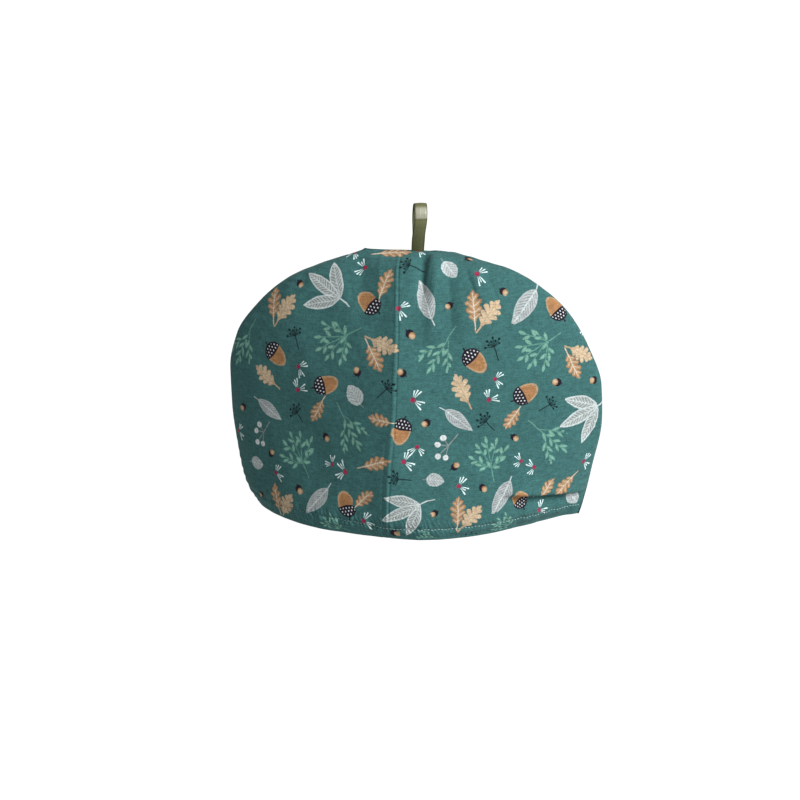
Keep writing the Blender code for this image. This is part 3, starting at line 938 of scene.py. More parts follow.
SHORT_BLADE = Blade(15.0, 6.2, 0.80, 0.62)
SHORT_FOOT = -SHORT_BLADE.length / 2
SHORT_STEM = Stroke((0.8, SHORT_FOOT - 3.0), (0.0, SHORT_FOOT + 1.0), 0.2)
SHORT_RIM = 0.9
SHORT_VEINS = Veins(2.4, 0.9, 0.42, 0.60, 0.3, 1.0, 0.5)
WAVE_UP, WAVE_ACROSS = 2.1, 0.6      # radians for each mm of the short leaf's wavy edge
WAVE_HEIGHT = 0.35
WAVE_LIMIT = 3.0             # keeps the wave from reaching out past the blade's own edge


def draw_short_leaf(drawing, dyes):
    """A small round grey leaf with a wavy edge."""
    x, y = drawing.x, drawing.y
    edge = blade_edge(x, y - SHORT_FOOT, SHORT_BLADE)
    wave = sine(y * WAVE_UP + x * WAVE_ACROSS) * WAVE_HEIGHT
    edge = least(edge + wave, edge * WAVE_LIMIT)
    drawing.lay(cover(line_edge(x, y, *SHORT_STEM)), dyes.grey)
    drawing.lay(cover(edge), mixed(dyes.grey, dyes.pale, 0.70))
    lay_veins(drawing, x, y, cover(edge - SHORT_RIM), SHORT_VEINS, dyes.vein, dyes.pale)


TRIPLE_BLADE = Blade(41.0, 6.3, 0.96, 0.78)
TRIPLE_LENGTHS = {-36.0: 35.0, 0.0: 41.0, 43.0: 35.5}      # of the blade at each angle
TRIPLE_FOOT = 0.5
TRIPLE_STEM = (Stroke((0.0, 1.0), (0.3, -7.0), 0.6), Stroke((0.3, -7.0), (-1.6, -14.0), 0.5))
TRIPLE_RIM = 1.3
TRIPLE_VEINS = Veins(3.1, 0.95, 0.48, 0.85, 0.45, 0.85, 0.6)


def draw_triple_leaf(drawing, dyes):
    """Three grey blades with pale rims and veins on one bent stem."""
    x, y = drawing.x, drawing.y
    drawing.lay(cover(any_of(line_edge(x, y, *stroke) for stroke in TRIPLE_STEM)), dyes.pale)
    for angle, length in TRIPLE_LENGTHS.items():
        across, along = turned(x, y, angle)
        edge = blade_edge(across, along - TRIPLE_FOOT, TRIPLE_BLADE._replace(length=length))
        drawing.lay(cover(edge), dyes.pale)
        inside = cover(edge - TRIPLE_RIM)
        drawing.lay(inside, dyes.grey)
        lay_veins(drawing, across, along, inside, TRIPLE_VEINS, dyes.pale, dyes.pale)


OakDyes = namedtuple("OakDyes", "body heart vein")
OAK_STEM = Stroke((-0.5, -4.8), (0.0, 4.0), 0.55)
OAK_MIDRIB = Stroke((-0.4, -4.0), (0.0, 24.0), 0.42)
OAK_VEIN_BLUR = 0.5
OAK_RIM, OAK_RIM_BLUR = 1.2, 1.8
OAK_VEIN_HALF_WIDTH = 0.30
OAK_INNER_SHARE = 0.75       # of the heart's and the side veins' dye
OAK_MIDDLE = 14.5            # from the leaf's own foot to the origin of a lone leaf
OAK_CREAM_BROAD = 1.15
OakPlace = namedtuple("OakPlace", "turn foot size broad")
OAK_BROWN_OF_PAIR = OakPlace(1.0, 7.5, 1.02, 1.05)
OAK_CREAM_OF_PAIR = OakPlace(-38.0, 6.0, 1.0, 1.16)


def brown_oak(dyes):
    """Dyes of a brown oak leaf."""
    return OakDyes(body=dyes.tan, heart=mixed(dyes.tan, dyes.cream, 0.30),
                   vein=mixed(dyes.cream, dyes.pale, 0.35))


def cream_oak(dyes):
    """Dyes of a cream oak leaf."""
    return OakDyes(body=mixed(dyes.cream, dyes.tan, 0.50), heart=dyes.cream,
                   vein=mixed(dyes.cream, dyes.tan, 0.62))


def lay_oak_leaf(drawing, x, y, size, broad, leaf_dyes):
    """One lobed leaf that runs up from the origin, with its stem below it."""
    x, y = x * (1.0 / (size * broad)), y * (1.0 / size)
    edge, side_veins = oak_edges(x, y)
    drawing.lay(cover(most(edge, line_edge(x, y, *OAK_STEM))), leaf_dyes.body)
    drawing.lay(cover(edge - OAK_RIM, OAK_RIM_BLUR), leaf_dyes.heart, OAK_INNER_SHARE)
    side = cover(side_veins + OAK_VEIN_HALF_WIDTH, OAK_VEIN_BLUR)
    drawing.lay(side, leaf_dyes.vein, OAK_INNER_SHARE)
    drawing.lay(cover(line_edge(x, y, *OAK_MIDRIB), OAK_VEIN_BLUR), leaf_dyes.vein)


def draw_oak_leaf(drawing, dyes):
    """A brown oak leaf."""
    lay_oak_leaf(drawing, drawing.x, drawing.y + OAK_MIDDLE, 1.0, 1.0, brown_oak(dyes))


def draw_pale_oak_leaf(drawing, dyes):
    """A cream oak leaf."""
    lay_oak_leaf(drawing, drawing.x, drawing.y + OAK_MIDDLE, 1.0, OAK_CREAM_BROAD, cream_oak(dyes))


def draw_oak_pair(drawing, dyes):
    """A brown and a cream oak leaf whose stems meet."""
    pair = ((OAK_BROWN_OF_PAIR, brown_oak(dyes)), (OAK_CREAM_OF_PAIR, cream_oak(dyes)))
    for place, leaf_dyes in pair:
        across, along = turned(drawing.x, drawing.y, place.turn)
        lay_oak_leaf(drawing, across, along - place.foot, place.size, place.broad, leaf_dyes)


CAP_OVAL = Oval(8.5, 9.2, 8.8)
CAP_FOOT, CAP_FOOT_BOW = 1.2, 0.018  # how far below the origin the cap ends, and how much it bows
CAP_STALK = Stroke((0.0, 8.0), (0.9, 11.2), 0.6)
NUT_OVAL = Oval(7.7, 13.8, 8.2)
NUT_TOP = 1.0
NUT_RIM, NUT_RIM_BLUR = 1.1, 0.8
DOT_PITCH, DOT_ROW = 2.9, 2.7
DOT_RADIUS, DOT_SQUASH, DOT_BLUR = 0.50, 0.75, 0.5
DOT_SHIFT = 0.13             # of the first row, in parts of the pitch
DOT_RIM = 1.2


def draw_acorn(drawing, dyes):
    """A brown nut in a dark cap with rows of pale dots."""
    x, y = drawing.x, drawing.y
    cap = least(oval_edge(x, y, *CAP_OVAL), y + CAP_FOOT - x * x * CAP_FOOT_BOW)
    nut = least(oval_edge(x, y, *NUT_OVAL), NUT_TOP - y)
    drawing.lay(cover(nut), mixed(dyes.nut, dyes.cream, 0.30))
    drawing.lay(cover(nut - NUT_RIM, NUT_RIM_BLUR), dyes.nut)
    drawing.lay(cover(most(cap, line_edge(x, y, *CAP_STALK))), dyes.cap)
    rows = y * (1.0 / DOT_ROW)
    shift = part_of_one(whole(rows) * 0.5 + DOT_SHIFT)
    dot_x = off_middle(x * (1.0 / DOT_PITCH) + shift, DOT_PITCH)
    dot_y = off_middle(rows, DOT_ROW)
    dots = cover(DOT_RADIUS - span(dot_x, dot_y * DOT_SQUASH), DOT_BLUR)
    drawing.lay(dots * cover(cap - DOT_RIM), mixed(dyes.pale, WHITE, 0.4))


PETAL_GAP = 21.0             # to either side of the daisy's own line, which stays bare
PETAL_STEP = 17.5
PETALS_A_SIDE = 3
PETAL_FOOT, PETAL_LENGTH, PETAL_UNEVEN = 2.7, 8.7, 1.4
PETAL_BY_NUMBER, PETAL_BY_SIDE, PETAL_FIRST = 2.4, 1.9, 0.6    # radians that make it uneven
PETAL_SWELL_FROM, PETAL_SWELL_OVER, PETAL_SWELL_POWER = 2.0, 7.0, 0.8
PETAL_HALF_WIDTH, PETAL_LEAST = 0.53, 0.03
PETAL_BLUR = 0.5
DAISY_CENTRE = Disc((0.0, 0.0), 1.85)
DAISY_CENTRE_BLUR = 0.7


def draw_daisy(drawing, dyes):
    """Half a daisy: a crimson centre and two bunches of thin petals."""
    x, y = drawing.x, drawing.y
    away = span(x, y)
    step = (abs(compass(x, y)) - PETAL_GAP) * (1.0 / PETAL_STEP)
    off_axis = off_middle(step, math.radians(PETAL_STEP))
    turn = whole(step) * PETAL_BY_NUMBER + above(x, 0.0) * PETAL_BY_SIDE + PETAL_FIRST
    length = sine(turn) * PETAL_UNEVEN + PETAL_LENGTH
    swell = work(drawing.tree, "MULTIPLY", away - PETAL_SWELL_FROM, 1.0 / PETAL_SWELL_OVER,
                 clamp=True)
    half_width = (swell ** PETAL_SWELL_POWER) * PETAL_HALF_WIDTH + PETAL_LEAST
    petal = least(half_width - abs(off_axis * away), length - away)
    petal = least(petal, away - PETAL_FOOT)
    fan = above(step, 0.0) * (1.0 - above(step, PETALS_A_SIDE))
    drawing.lay(cover(petal, PETAL_BLUR) * fan, mixed(dyes.pale, COOL_WHITE, 0.78))
    drawing.lay(cover(disc_edge(x, y, *DAISY_CENTRE), DAISY_CENTRE_BLUR), dyes.flower)


SMALL_CAP = Disc((0.0, 1.2), 3.5)
SMALL_STALK = Stroke((0.0, 4.0), (0.6, 5.6), 0.5)
SMALL_NUT = Disc((0.1, -1.2), 2.7)
SMALL_SHINE = Disc((-0.4, -1.6), 2.0)
SMALL_SHINE_BLUR = 1.6


def draw_small_nut(drawing, dyes):
    """A small round nut behind which its dark cap shows."""
    x, y = drawing.x, drawing.y
    cap = most(disc_edge(x, y, *SMALL_CAP), line_edge(x, y, *SMALL_STALK))
    drawing.lay(cover(cap), dyes.cap)
    drawing.lay(cover(disc_edge(x, y, *SMALL_NUT)), dyes.nut)
    shine = cover(disc_edge(x, y, *SMALL_SHINE), SMALL_SHINE_BLUR)
    drawing.lay(shine, mixed(dyes.nut, dyes.cream, 0.6))


RAY_STEP, RAY_SPREAD = 21.0, 168.0
RAY_LENGTH, RAY_SHORTER = 8.4, 2.8   # and by how much every second one is shorter
RAY_HALF_WIDTH, SEED_RADIUS = 0.38, 1.08
UMBEL_STEM = Stroke((0.0, 0.5), (-0.8, -12.5), 0.45)


def draw_umbel(drawing, dyes):
    """A dark seed head: rays that end in dots, on a thin stem."""
    x, y = drawing.x, drawing.y
    away = span(x, y)
    angle = compass(x, y)
    step = (angle + RAY_SPREAD / 2) * (1.0 / RAY_STEP)
    over = abs(off_middle(step, math.radians(RAY_STEP)) * away)
    odd = above(part_of_one(whole(step) * 0.5), 0.25)
    length = odd * -RAY_SHORTER + RAY_LENGTH
    ray = least(RAY_HALF_WIDTH - over, length - away)
    seed = SEED_RADIUS - span(over, away - length)
    fan = above(RAY_SPREAD / 2 - abs(angle), 0.0)
    drawing.lay(cover(most(ray, seed)) * fan, dyes.umbel)
    drawing.lay(cover(line_edge(x, y, *UMBEL_STEM)), dyes.umbel)


# A twig of a sprig: where it leaves the main stem, its turn to the left and the count of leaflets
# on either side of it
Twig = namedtuple("Twig", "foot turn leaflets")
Leaflet = namedtuple("Leaflet", "pitch slant length half_width")
LEAFLET_FULLNESS, LEAFLET_ROUNDNESS = 0.9, 0.6
LEAFLET_STAGGER = 0.45       # from the left leaflets to the right ones, in parts of the pitch
LEAFLET_FOOT = 0.7           # from the twig, along the leaflet
LEAFLET_TRIM = 0.25
END_LEAFLET_OVERLAP = 0.5
TWIG_HALF_WIDTH, STEM_HALF_WIDTH = 0.34, 0.42


def twig_edges(x, y, count, leaflet):
    """How far inside the leaflets, and inside the stem, of a twig that runs up from the origin a
    point lies; leaflets stand on both sides of the stem, in turn, and one at its end."""
    slant = math.radians(leaflet.slant)
    sin, cos = math.sin(slant), math.cos(slant)
    out = abs(x)
    level = (y - out * (cos / sin)) * (1.0 / leaflet.pitch) + above(x, 0.0) * LEAFLET_STAGGER
    number = least(most(whole(level), 1.0), float(count))
    offset = level - number - 0.5
    over = abs(offset * (leaflet.pitch * sin))
    along = out * (1.0 / sin) + offset * (leaflet.pitch * cos)
    u = work(x.tree, "MULTIPLY", along - LEAFLET_FOOT, 1.0 / leaflet.length, clamp=True)
    wide = sine((u ** LEAFLET_FULLNESS) * math.pi) ** LEAFLET_ROUNDNESS * leaflet.half_width
    end = leaflet.pitch * (count + 1.0)
    last = blade_edge(x, y - end + END_LEAFLET_OVERLAP, Blade(
        leaflet.length, leaflet.half_width, LEAFLET_FULLNESS, LEAFLET_ROUNDNESS))
    stem = line_edge(x, y, (0.0, 0.0), (0.0, end), TWIG_HALF_WIDTH)
    return most(wide - LEAFLET_TRIM - over, last), stem


SPRIG_BLUR, SPRIG_STEM_SHARE = 0.6, 0.8
SPRIG_RIM, SPRIG_RIM_BLUR, SPRIG_HEART_SHARE = 0.9, 0.8, 0.35


def lay_sprig(drawing, dyes, twigs, leaflet, stem_length):
    """A main stem with twigs, each with its leaflets."""
    x, y = drawing.x, drawing.y
    stems = [line_edge(x, y, (0.0, 0.0), (0.0, stem_length), STEM_HALF_WIDTH)]
    leaves = []
    for twig in twigs:
        across, along = turned(x, y - twig.foot, twig.turn)
        leaf_edge, stem_edge = twig_edges(across, along, twig.leaflets, leaflet)
        leaves.append(leaf_edge)
        stems.append(stem_edge)
    leaf = any_of(leaves)
    drawing.lay(cover(any_of(stems), SPRIG_BLUR), dyes.green, SPRIG_STEM_SHARE)
    drawing.lay(cover(leaf, SPRIG_BLUR), dyes.green)
    heart = cover(leaf - SPRIG_RIM, SPRIG_RIM_BLUR)
    drawing.lay(heart, mixed(dyes.green, dyes.pale, 0.5), SPRIG_HEART_SHARE)


SLIM_TWIGS = (Twig(8.0, 1.0, 3), Twig(12.0, 30.0, 2), Twig(17.0, -31.0, 2))
SLIM_LEAFLET = Leaflet(8.4, 29.0, 8.4, 1.6)
SLIM_STEM = 12.0
ROUND_TWIGS = (
    Twig(13.0, 66.0, 0), Twig(12.0, 50.0, 1), Twig(15.0, 25.0, 1), Twig(17.0, 1.0, 1),
    Twig(15.5, -23.0, 1), Twig(13.0, -49.0, 1), Twig(13.0, -67.0, 0),
)
ROUND_LEAFLET = Leaflet(9.4, 40.0, 6.8, 1.65)
ROUND_STEM = 18.0


def draw_slim_sprig(drawing, dyes):
    """A long sprig with slender leaflets."""
    lay_sprig(drawing, dyes, SLIM_TWIGS, SLIM_LEAFLET, SLIM_STEM)


def draw_round_sprig(drawing, dyes):
    """A bushy sprig: twigs fan out from the main stem, each with short leaflets."""
    lay_sprig(drawing, dyes, ROUND_TWIGS, ROUND_LEAFLET, ROUND_STEM)


BERRIES = (
    Disc((-4.0, 9.0), 2.8),
    Disc((-9.0, 3.2), 2.5),
    Disc((-9.0, -7.0), 2.5),
    Disc((-2.2, -8.5), 2.5),
)
BERRY_STEM = Stroke((8.5, 11.5), (0.0, 2.0), 0.4)
BERRY_TWIG_HALF_WIDTH = 0.34
BERRY_BLUR = 0.6
BERRY_RIM, BERRY_RIM_BLUR, BERRY_HEART_SHARE = 1.9, 0.9, 0.35


def draw_berries(drawing, dyes):
    """Four pale berries on a forked twig."""
    x, y = drawing.x, drawing.y
    twigs = [line_edge(x, y, BERRY_STEM.end, berry.centre, BERRY_TWIG_HALF_WIDTH)
             for berry in BERRIES]
    drawing.lay(cover(any_of([line_edge(x, y, *BERRY_STEM), *twigs])), dyes.grey)
    fruit = any_of(disc_edge(x, y, *berry) for berry in BERRIES)
    drawing.lay(cover(fruit, BERRY_BLUR), mixed(dyes.pale, WHITE, 0.15))
    drawing.lay(cover(fruit - BERRY_RIM, BERRY_RIM_BLUR), dyes.vein, BERRY_HEART_SHARE)


# What draws each kind of motif, and what it covers round its origin
Kind = namedtuple("Kind", "draw left right low high")
KINDS = {
    "long_leaf": Kind(draw_long_leaf, -10.0, 10.0, -26.0, 20.5),
    "short_leaf": Kind(draw_short_leaf, -8.0, 8.0, -13.0, 9.5),
    "triple_leaf": Kind(draw_triple_leaf, -35.0, 35.0, -17.0, 43.0),
    "oak_pair": Kind(draw_oak_pair, -15.0, 38.0, -4.0, 43.0),
    "oak_leaf": Kind(draw_oak_leaf, -11.0, 11.0, -22.0, 17.5),
    "pale_oak_leaf": Kind(draw_pale_oak_leaf, -11.0, 11.0, -22.0, 17.5),
    "acorn": Kind(draw_acorn, -10.5, 10.5, -17.5, 14.5),
    "daisy": Kind(draw_daisy, -10.5, 10.5, -6.0, 11.0),
    "small_nut": Kind(draw_small_nut, -5.5, 5.5, -5.5, 6.5),
    "umbel": Kind(draw_umbel, -9.5, 9.5, -15.0, 11.0),
    "slim_sprig": Kind(draw_slim_sprig, -15.0, 15.0, -3.0, 52.0),
    "round_sprig": Kind(draw_round_sprig, -25.0, 25.0, -3.0, 50.0),
    "berries": Kind(draw_berries, -14.0, 11.0, -13.0, 14.0),
}


# ---------------------------------------------------------------- shader groups and materials
def new_group(name, inputs, outputs):
    """A shader node group with its sockets, and its input and output nodes."""
    tree = bpy.data.node_groups.new(name, "ShaderNodeTree")
    for label, kind in inputs:
        tree.interface.new_socket(label, in_out="INPUT", socket_type=kind)
    for label, kind in outputs:
        tree.interface.new_socket(label, in_out="OUTPUT", socket_type=kind)
    return tree, tree.nodes.new("NodeGroupInput"), tree.nodes.new("NodeGroupOutput")


def add_group(tree, group):
    """Use a node group in a material."""
    node = tree.nodes.new("ShaderNodeGroup")
    node.node_tree = group
    return node


def noise(tree, vector, scale, detail=1.0, output="Fac"):
    """A Noise texture on a vector."""
    node = tree.nodes.new("ShaderNodeTexNoise")
    tree.links.new(vector, node.inputs["Vector"])
    node.inputs["Scale"].default_value = scale
    node.inputs["Detail"].default_value = detail
    return Ink(tree, node.outputs[output])


def vector_work(tree, operation, *values):
    """One Vector Math node."""
    node = tree.nodes.new("ShaderNodeVectorMath")
    node.operation = operation
    for socket, value in zip(node.inputs, values):
        plug(tree, socket, value)
    return node.outputs[0]


def streaks(tree, cloth, across, along):
    """Noise that is drawn out one way, from its flecks for each mm in two directions."""
    return noise(tree, vector_work(tree, "MULTIPLY", cloth, (across, along, 1.0)), 1.0)


def new_material(name):
    """A material, its node tree and its shader."""
    material = bpy.data.materials.new(name)
    material.use_nodes = True
    tree = material.node_tree
    return material, tree, tree.nodes["Principled BSDF"]


def set_inputs(node, values):
    """Set inputs of a node by their names."""
    for label, value in values.items():
        node.inputs[label].default_value = value


def add_bump(tree, shader, height, strength, distance):
    """Raise the surface by a height that varies over it."""
    bump = tree.nodes.new("ShaderNodeBump")
    set_inputs(bump, {"Strength": strength, "Distance": distance})
    plug(tree, bump.inputs["Height"], height)
    tree.links.new(bump.outputs["Normal"], shader.inputs["Normal"])


THREAD_PITCH_MM = 0.62
WEAVE_SHADE = 0.10
SLUB_LONG, SLUB_FINE = 0.11, 1.0     # flecks for each mm, along and across a thread
WEFT_SLUBS, WARP_SLUBS = 1.05, 0.45
SLUB_SHADE, SLUB_HEIGHT = 0.62, 0.8
# Uneven yarn and dye: its flecks for each mm, their detail and how strongly they show
Unevenness = namedtuple("Unevenness", "scale detail shade")
CLOUDS = Unevenness(0.035, 2.0, 0.16)
FINE_GRAIN = Unevenness(0.80, 1.0, 0.95)
COARSE_GRAIN = Unevenness(0.25, 1.0, 0.60)
GATHER_MM = 4.4              # from one small gather along the hem stitches to the next
GATHER_REACH_MM = 6.5
GATHER_SLANT = 0.35
GATHER_DRIFT = 14.0          # radians
GATHER_END_MM = 40.0         # they thin out to the right of this
GATHER_THINNING = 0.75
GATHER_PATCHES = 0.09        # for each mm
GATHER_PATCH_EDGE, GATHER_PATCH_BLUR = 0.40, 0.25
GATHER_HEIGHT = 8.0          # times the height of a thread
# painted shade and light: how much darker and paler the colour is made over the gathers
GATHER_PAINTED_SHADE = 0.20


def hem_gathers(tree, cloth, across, up):
    """The small slanting gathers that the hem stitches pull."""
    off_line = abs(up - HEM_LINE_MM - HEM_LINE_RISE_MM / 2)
    strength = cover(GATHER_REACH_MM - off_line, GATHER_REACH_MM * 2.0)
    right = cover(across - GATHER_END_MM, GATHER_END_MM)
    strength = strength * (1.0 - right * GATHER_THINNING)
    patches = noise(tree, cloth, GATHER_PATCHES)
    strength = strength * cover(patches - GATHER_PATCH_EDGE, GATHER_PATCH_BLUR)
    turn = (across + up * GATHER_SLANT) * (2.0 * math.pi / GATHER_MM) + patches * GATHER_DRIFT
    return sine(turn) * strength


def cotton_group():
    """Plain-woven cotton: how light each thread is, with painted shade and light on the hem
    gathers, and how high it stands.
    """
    tree, source, sink = new_group(
        "woven cotton", (("Cloth", "NodeSocketVector"),),
        (("Shade", "NodeSocketFloat"), ("Height", "NodeSocketFloat")))
    cloth = source.outputs["Cloth"]
    across, up = parts_of(tree, cloth)
    warps, wefts = across * (1.0 / THREAD_PITCH_MM), up * (1.0 / THREAD_PITCH_MM)
    over_under = part_of_one((whole(warps) + whole(wefts)) * 0.5) * 2.0
    warp, weft = abs(sine(warps * math.pi)), abs(sine(wefts * math.pi))
    weave = warp * over_under + weft * (1.0 - over_under)
    slubs = (streaks(tree, cloth, SLUB_LONG, SLUB_FINE) - 0.5) * WEFT_SLUBS
    slubs = slubs + (streaks(tree, cloth, SLUB_FINE, SLUB_LONG) - 0.5) * WARP_SLUBS
    gathers = hem_gathers(tree, cloth, across, up)
    shade = slubs * SLUB_SHADE
    for uneven in (CLOUDS, FINE_GRAIN, COARSE_GRAIN):
        shade = shade + (noise(tree, cloth, uneven.scale, uneven.detail) - 0.5) * uneven.shade
    # the gathers also darken and lighten the colour, as painted shade and light
    shade = shade + (weave - 0.5) * WEAVE_SHADE + 1.0 + gathers * GATHER_PAINTED_SHADE
    plug(tree, sink.inputs["Shade"], shade)
    plug(tree, sink.inputs["Height"], weave + slubs * SLUB_HEIGHT + gathers * GATHER_HEIGHT)
    return tree


def motif_group(kind, dyes):
    """One kind of motif, printed over a ground colour."""
    tree, source, sink = new_group(
        kind.replace("_", " ") + " print",
        (("Place", "NodeSocketVector"), ("Ground", "NodeSocketColor")),
        (("Color", "NodeSocketColor"),))
    drawing = Drawing(tree, source.outputs["Place"], source.outputs["Ground"])
    KINDS[kind].draw(drawing, dyes)
    tree.links.new(drawing.colour, sink.inputs["Color"])
    return tree


def uv_map(tree, name):
    """A UV map's coordinates."""
    node = tree.nodes.new("ShaderNodeUVMap")
    node.uv_map = name
    return node.outputs["UV"]


HAND_WOBBLE_MM = 1.5
HAND_WOBBLE_SCALE = 95.0     # per metre


def unsteady(tree, place):
    """Coordinates with the slight waver of a hand-drawn edge."""
    where = tree.nodes.new("ShaderNodeTexCoord")
    waver = noise(tree, where.outputs["Object"], HAND_WOBBLE_SCALE, output="Color")
    shifted = vector_work(tree, "MULTIPLY_ADD", waver, (HAND_WOBBLE_MM,) * 3, place)
    return vector_work(tree, "SUBTRACT", shifted, (HAND_WOBBLE_MM / 2,) * 3)


COTTON_BUMP = (0.5, 0.00012)         # strength and distance
COTTON_FINISH = {"Roughness": 0.88, "Specular IOR Level": 0.15,
                 "Sheen Weight": 0.05, "Sheen Roughness": 0.5}


def cotton_material(name, dyes, cotton, motif=None):
    """Teal cotton, plain or with one kind of motif printed on it."""
    material, tree, shader = new_material(name)
    threads = add_group(tree, cotton)
    tree.links.new(uv_map(tree, "cloth"), threads.inputs["Cloth"])
    if motif is None:
        dyed = tree.nodes.new("ShaderNodeRGB")
        dyed.outputs[0].default_value = rgba(dyes.ground)
        colour = dyed.outputs[0]
    else:
        printed = add_group(tree, motif)
        tree.links.new(unsteady(tree, uv_map(tree, "motif")), printed.inputs["Place"])
        printed.inputs["Ground"].default_value = rgba(dyes.ground)
        colour = printed.outputs["Color"]
    shade = tree.nodes.new("ShaderNodeVectorMath")
    shade.operation = "SCALE"
    tree.links.new(colour, shade.inputs[0])
    tree.links.new(threads.outputs["Shade"], shade.inputs["Scale"])
    tree.links.new(shade.outputs[0], shader.inputs["Base Color"])
    add_bump(tree, shader, threads.outputs["Height"], *COTTON_BUMP)
    set_inputs(shader, COTTON_FINISH)
    return material


TWIST_STRETCH = (1.0, 1.0, 3.0)
TWIST_SCALE = 1800.0         # per metre
THREAD_BUMP = (0.6, 0.0001)
THREAD_FINISH = {"Roughness": 0.7}


def thread_material(dyes):
    """Twisted sewing thread."""
    material, tree, shader = new_material("sewing thread")
    where = tree.nodes.new("ShaderNodeTexCoord")
    stretched = vector_work(tree, "MULTIPLY", where.outputs["Object"], TWIST_STRETCH)
    strands = noise(tree, stretched, TWIST_SCALE)
    colour = blend(tree, strands, rgba(mixed(dyes.thread, dyes.ground, 0.35)),
                   rgba(mixed(dyes.thread, dyes.pale, 0.25)))
    tree.links.new(colour, shader.inputs["Base Color"])
    add_bump(tree, shader, strands, *THREAD_BUMP)
    set_inputs(shader, THREAD_FINISH)
    return material


YARN_STREAKS = (0.25, 3.2)           # flecks for each mm across and along the ribbon
YARN_RISE, THREAD_RISE = 0.6, 0.4
SATIN_THREAD_MM = 0.35
SELVAGE_MM, SELVAGE_BLUR_MM = 1.0, 0.5
# how dark the edges are, how much less of the painted highlight they take, and how much rougher
# they are
SELVAGE_DARK, SELVAGE_SHEEN_CUT, SELVAGE_ROUGH = 0.75, 0.6, 0.25
SATIN_ROUGHNESS = 0.34
# The stretch of the loop that turns over at the top, in mm from its front end, where a streaky
# painted highlight stands in for the satin's sheen, and the painted shade of the crease under it
FOLD_START_MM, FOLD_END_MM = 37.8, 48.5
FOLD_START_STEEPNESS, FOLD_BLUR_MM = 2.0, 4.0
PAINTED_SHEEN_STREAKS = (1.3, 0.06)
PAINTED_SHEEN_CONTRAST, PAINTED_SHEEN_LEAST = 1.2, 0.17
# painted shade: where and how dark the line of shade under the painted highlight is painted
CREASE_SHADE_BELOW_MM, CREASE_SHADE_HALF_MM, CREASE_SHADE_BLUR_MM = 1.2, 0.35, 0.6
CREASE_SHADE_SHARE = 0.4
SATIN_BUMP = (0.35, 0.00006)
SATIN_FINISH = {"Sheen Weight": 0.12, "Sheen Roughness": 0.35, "Specular IOR Level": 0.5}


def satin_material(dyes):
    """Olive satin: fine cross threads, a soft sheen, darker woven edges, and a paler streaky
    stretch below the top that is a painted highlight, with painted shade of a crease under it."""
    material, tree, shader = new_material("olive satin")
    cloth = uv_map(tree, "cloth")
    across, along = parts_of(tree, cloth)
    selvage = cover(abs(across) - (RIBBON_WIDTH * 500.0 - SELVAGE_MM), SELVAGE_BLUR_MM)
    yarn = streaks(tree, cloth, *YARN_STREAKS)
    sheen_streaks = streaks(tree, cloth, *PAINTED_SHEEN_STREAKS)
    fold = least((along - FOLD_START_MM) * FOLD_START_STEEPNESS, FOLD_END_MM - along)
    # painted highlight: paler streaks in the colour where the satin turns over, standing in for
    # its sheen
    painted_sheen = cover(fold, FOLD_BLUR_MM) * (sheen_streaks * PAINTED_SHEEN_CONTRAST - PAINTED_SHEEN_LEAST)
    # painted shade: a dark line in the colour for the crease under the painted highlight
    crease = CREASE_SHADE_HALF_MM - abs(along - FOLD_START_MM + CREASE_SHADE_BELOW_MM)
    dark = rgba(mixed(dyes.ribbon, BLACK, 0.7))
    colour = blend(tree, yarn, rgba(mixed(dyes.ribbon, BLACK, 0.25)),
                   rgba(mixed(dyes.ribbon, WARM_WHITE, 0.08)))
    # over the yarn: the dark edges, then the painted highlight, then the painted shade of the
    # crease
    for share, over in (
            (selvage * SELVAGE_DARK, dark),
            (painted_sheen * (1.0 - selvage * SELVAGE_SHEEN_CUT), rgba(mixed(dyes.ribbon, WARM_WHITE, 0.62))),
            (cover(crease, CREASE_SHADE_BLUR_MM) * CREASE_SHADE_SHARE, dark)):
        colour = blend(tree, share, colour, over)
    tree.links.new(colour, shader.inputs["Base Color"])
    threads = abs(sine(along * (math.pi / SATIN_THREAD_MM)))
    add_bump(tree, shader, yarn * YARN_RISE + threads * THREAD_RISE, *SATIN_BUMP)
    plug(tree, shader.inputs["Roughness"], selvage * SELVAGE_ROUGH + SATIN_ROUGHNESS)
    set_inputs(shader, SATIN_FINISH)
    return material


# ---------------------------------------------------------------- meshes
WELD_DISTANCE = 0.00001


def finished(name, shape):
    """A mesh of what a bmesh holds, which is freed."""
    mesh = bpy.data.meshes.new(name)
    shape.to_mesh(mesh)
    shape.free()
    return mesh


def add_thing(name, data):
    """An object in the scene."""
    thing = bpy.data.objects.new(name, data)
    bpy.context.scene.collection.objects.link(thing)
    return thing


def sheet_from_grid(name, grid):
    """An open sheet of quads whose vertex row * columns + column lies at grid[row, column]."""
    rows, columns = grid.shape[:2]
    sheet = bmesh.new()
    bmesh.ops.create_grid(sheet, x_segments=columns - 1, y_segments=rows - 1, size=1.0)
    ordered = sorted(sheet.verts, key=lambda v: (round(v.co.y, 5), round(v.co.x, 5)))
    for index, (vert, place) in enumerate(zip(ordered, grid.reshape(-1, 3))):
        vert.index = index
        vert.co = place
    sheet.verts.sort()
    return finished(name, sheet)


def loop_grid_places(mesh, columns):
    """Row and column of the vertex at each face corner, and of the lowest one of its face."""
    vertex = np.zeros(len(mesh.loops), dtype=np.int32)
    mesh.loops.foreach_get("vertex_index", vertex)
    low = np.repeat(vertex.reshape(-1, 4).min(axis=1), 4)
    return vertex // columns, vertex % columns, low // columns, low % columns


def write_uv(mesh, name, places):
    """Store one place for each face corner as a UV map."""
    layer = mesh.uv_layers.new(name=name)
    layer.data.foreach_set("uv", np.ascontiguousarray(places, dtype=np.float32).ravel())


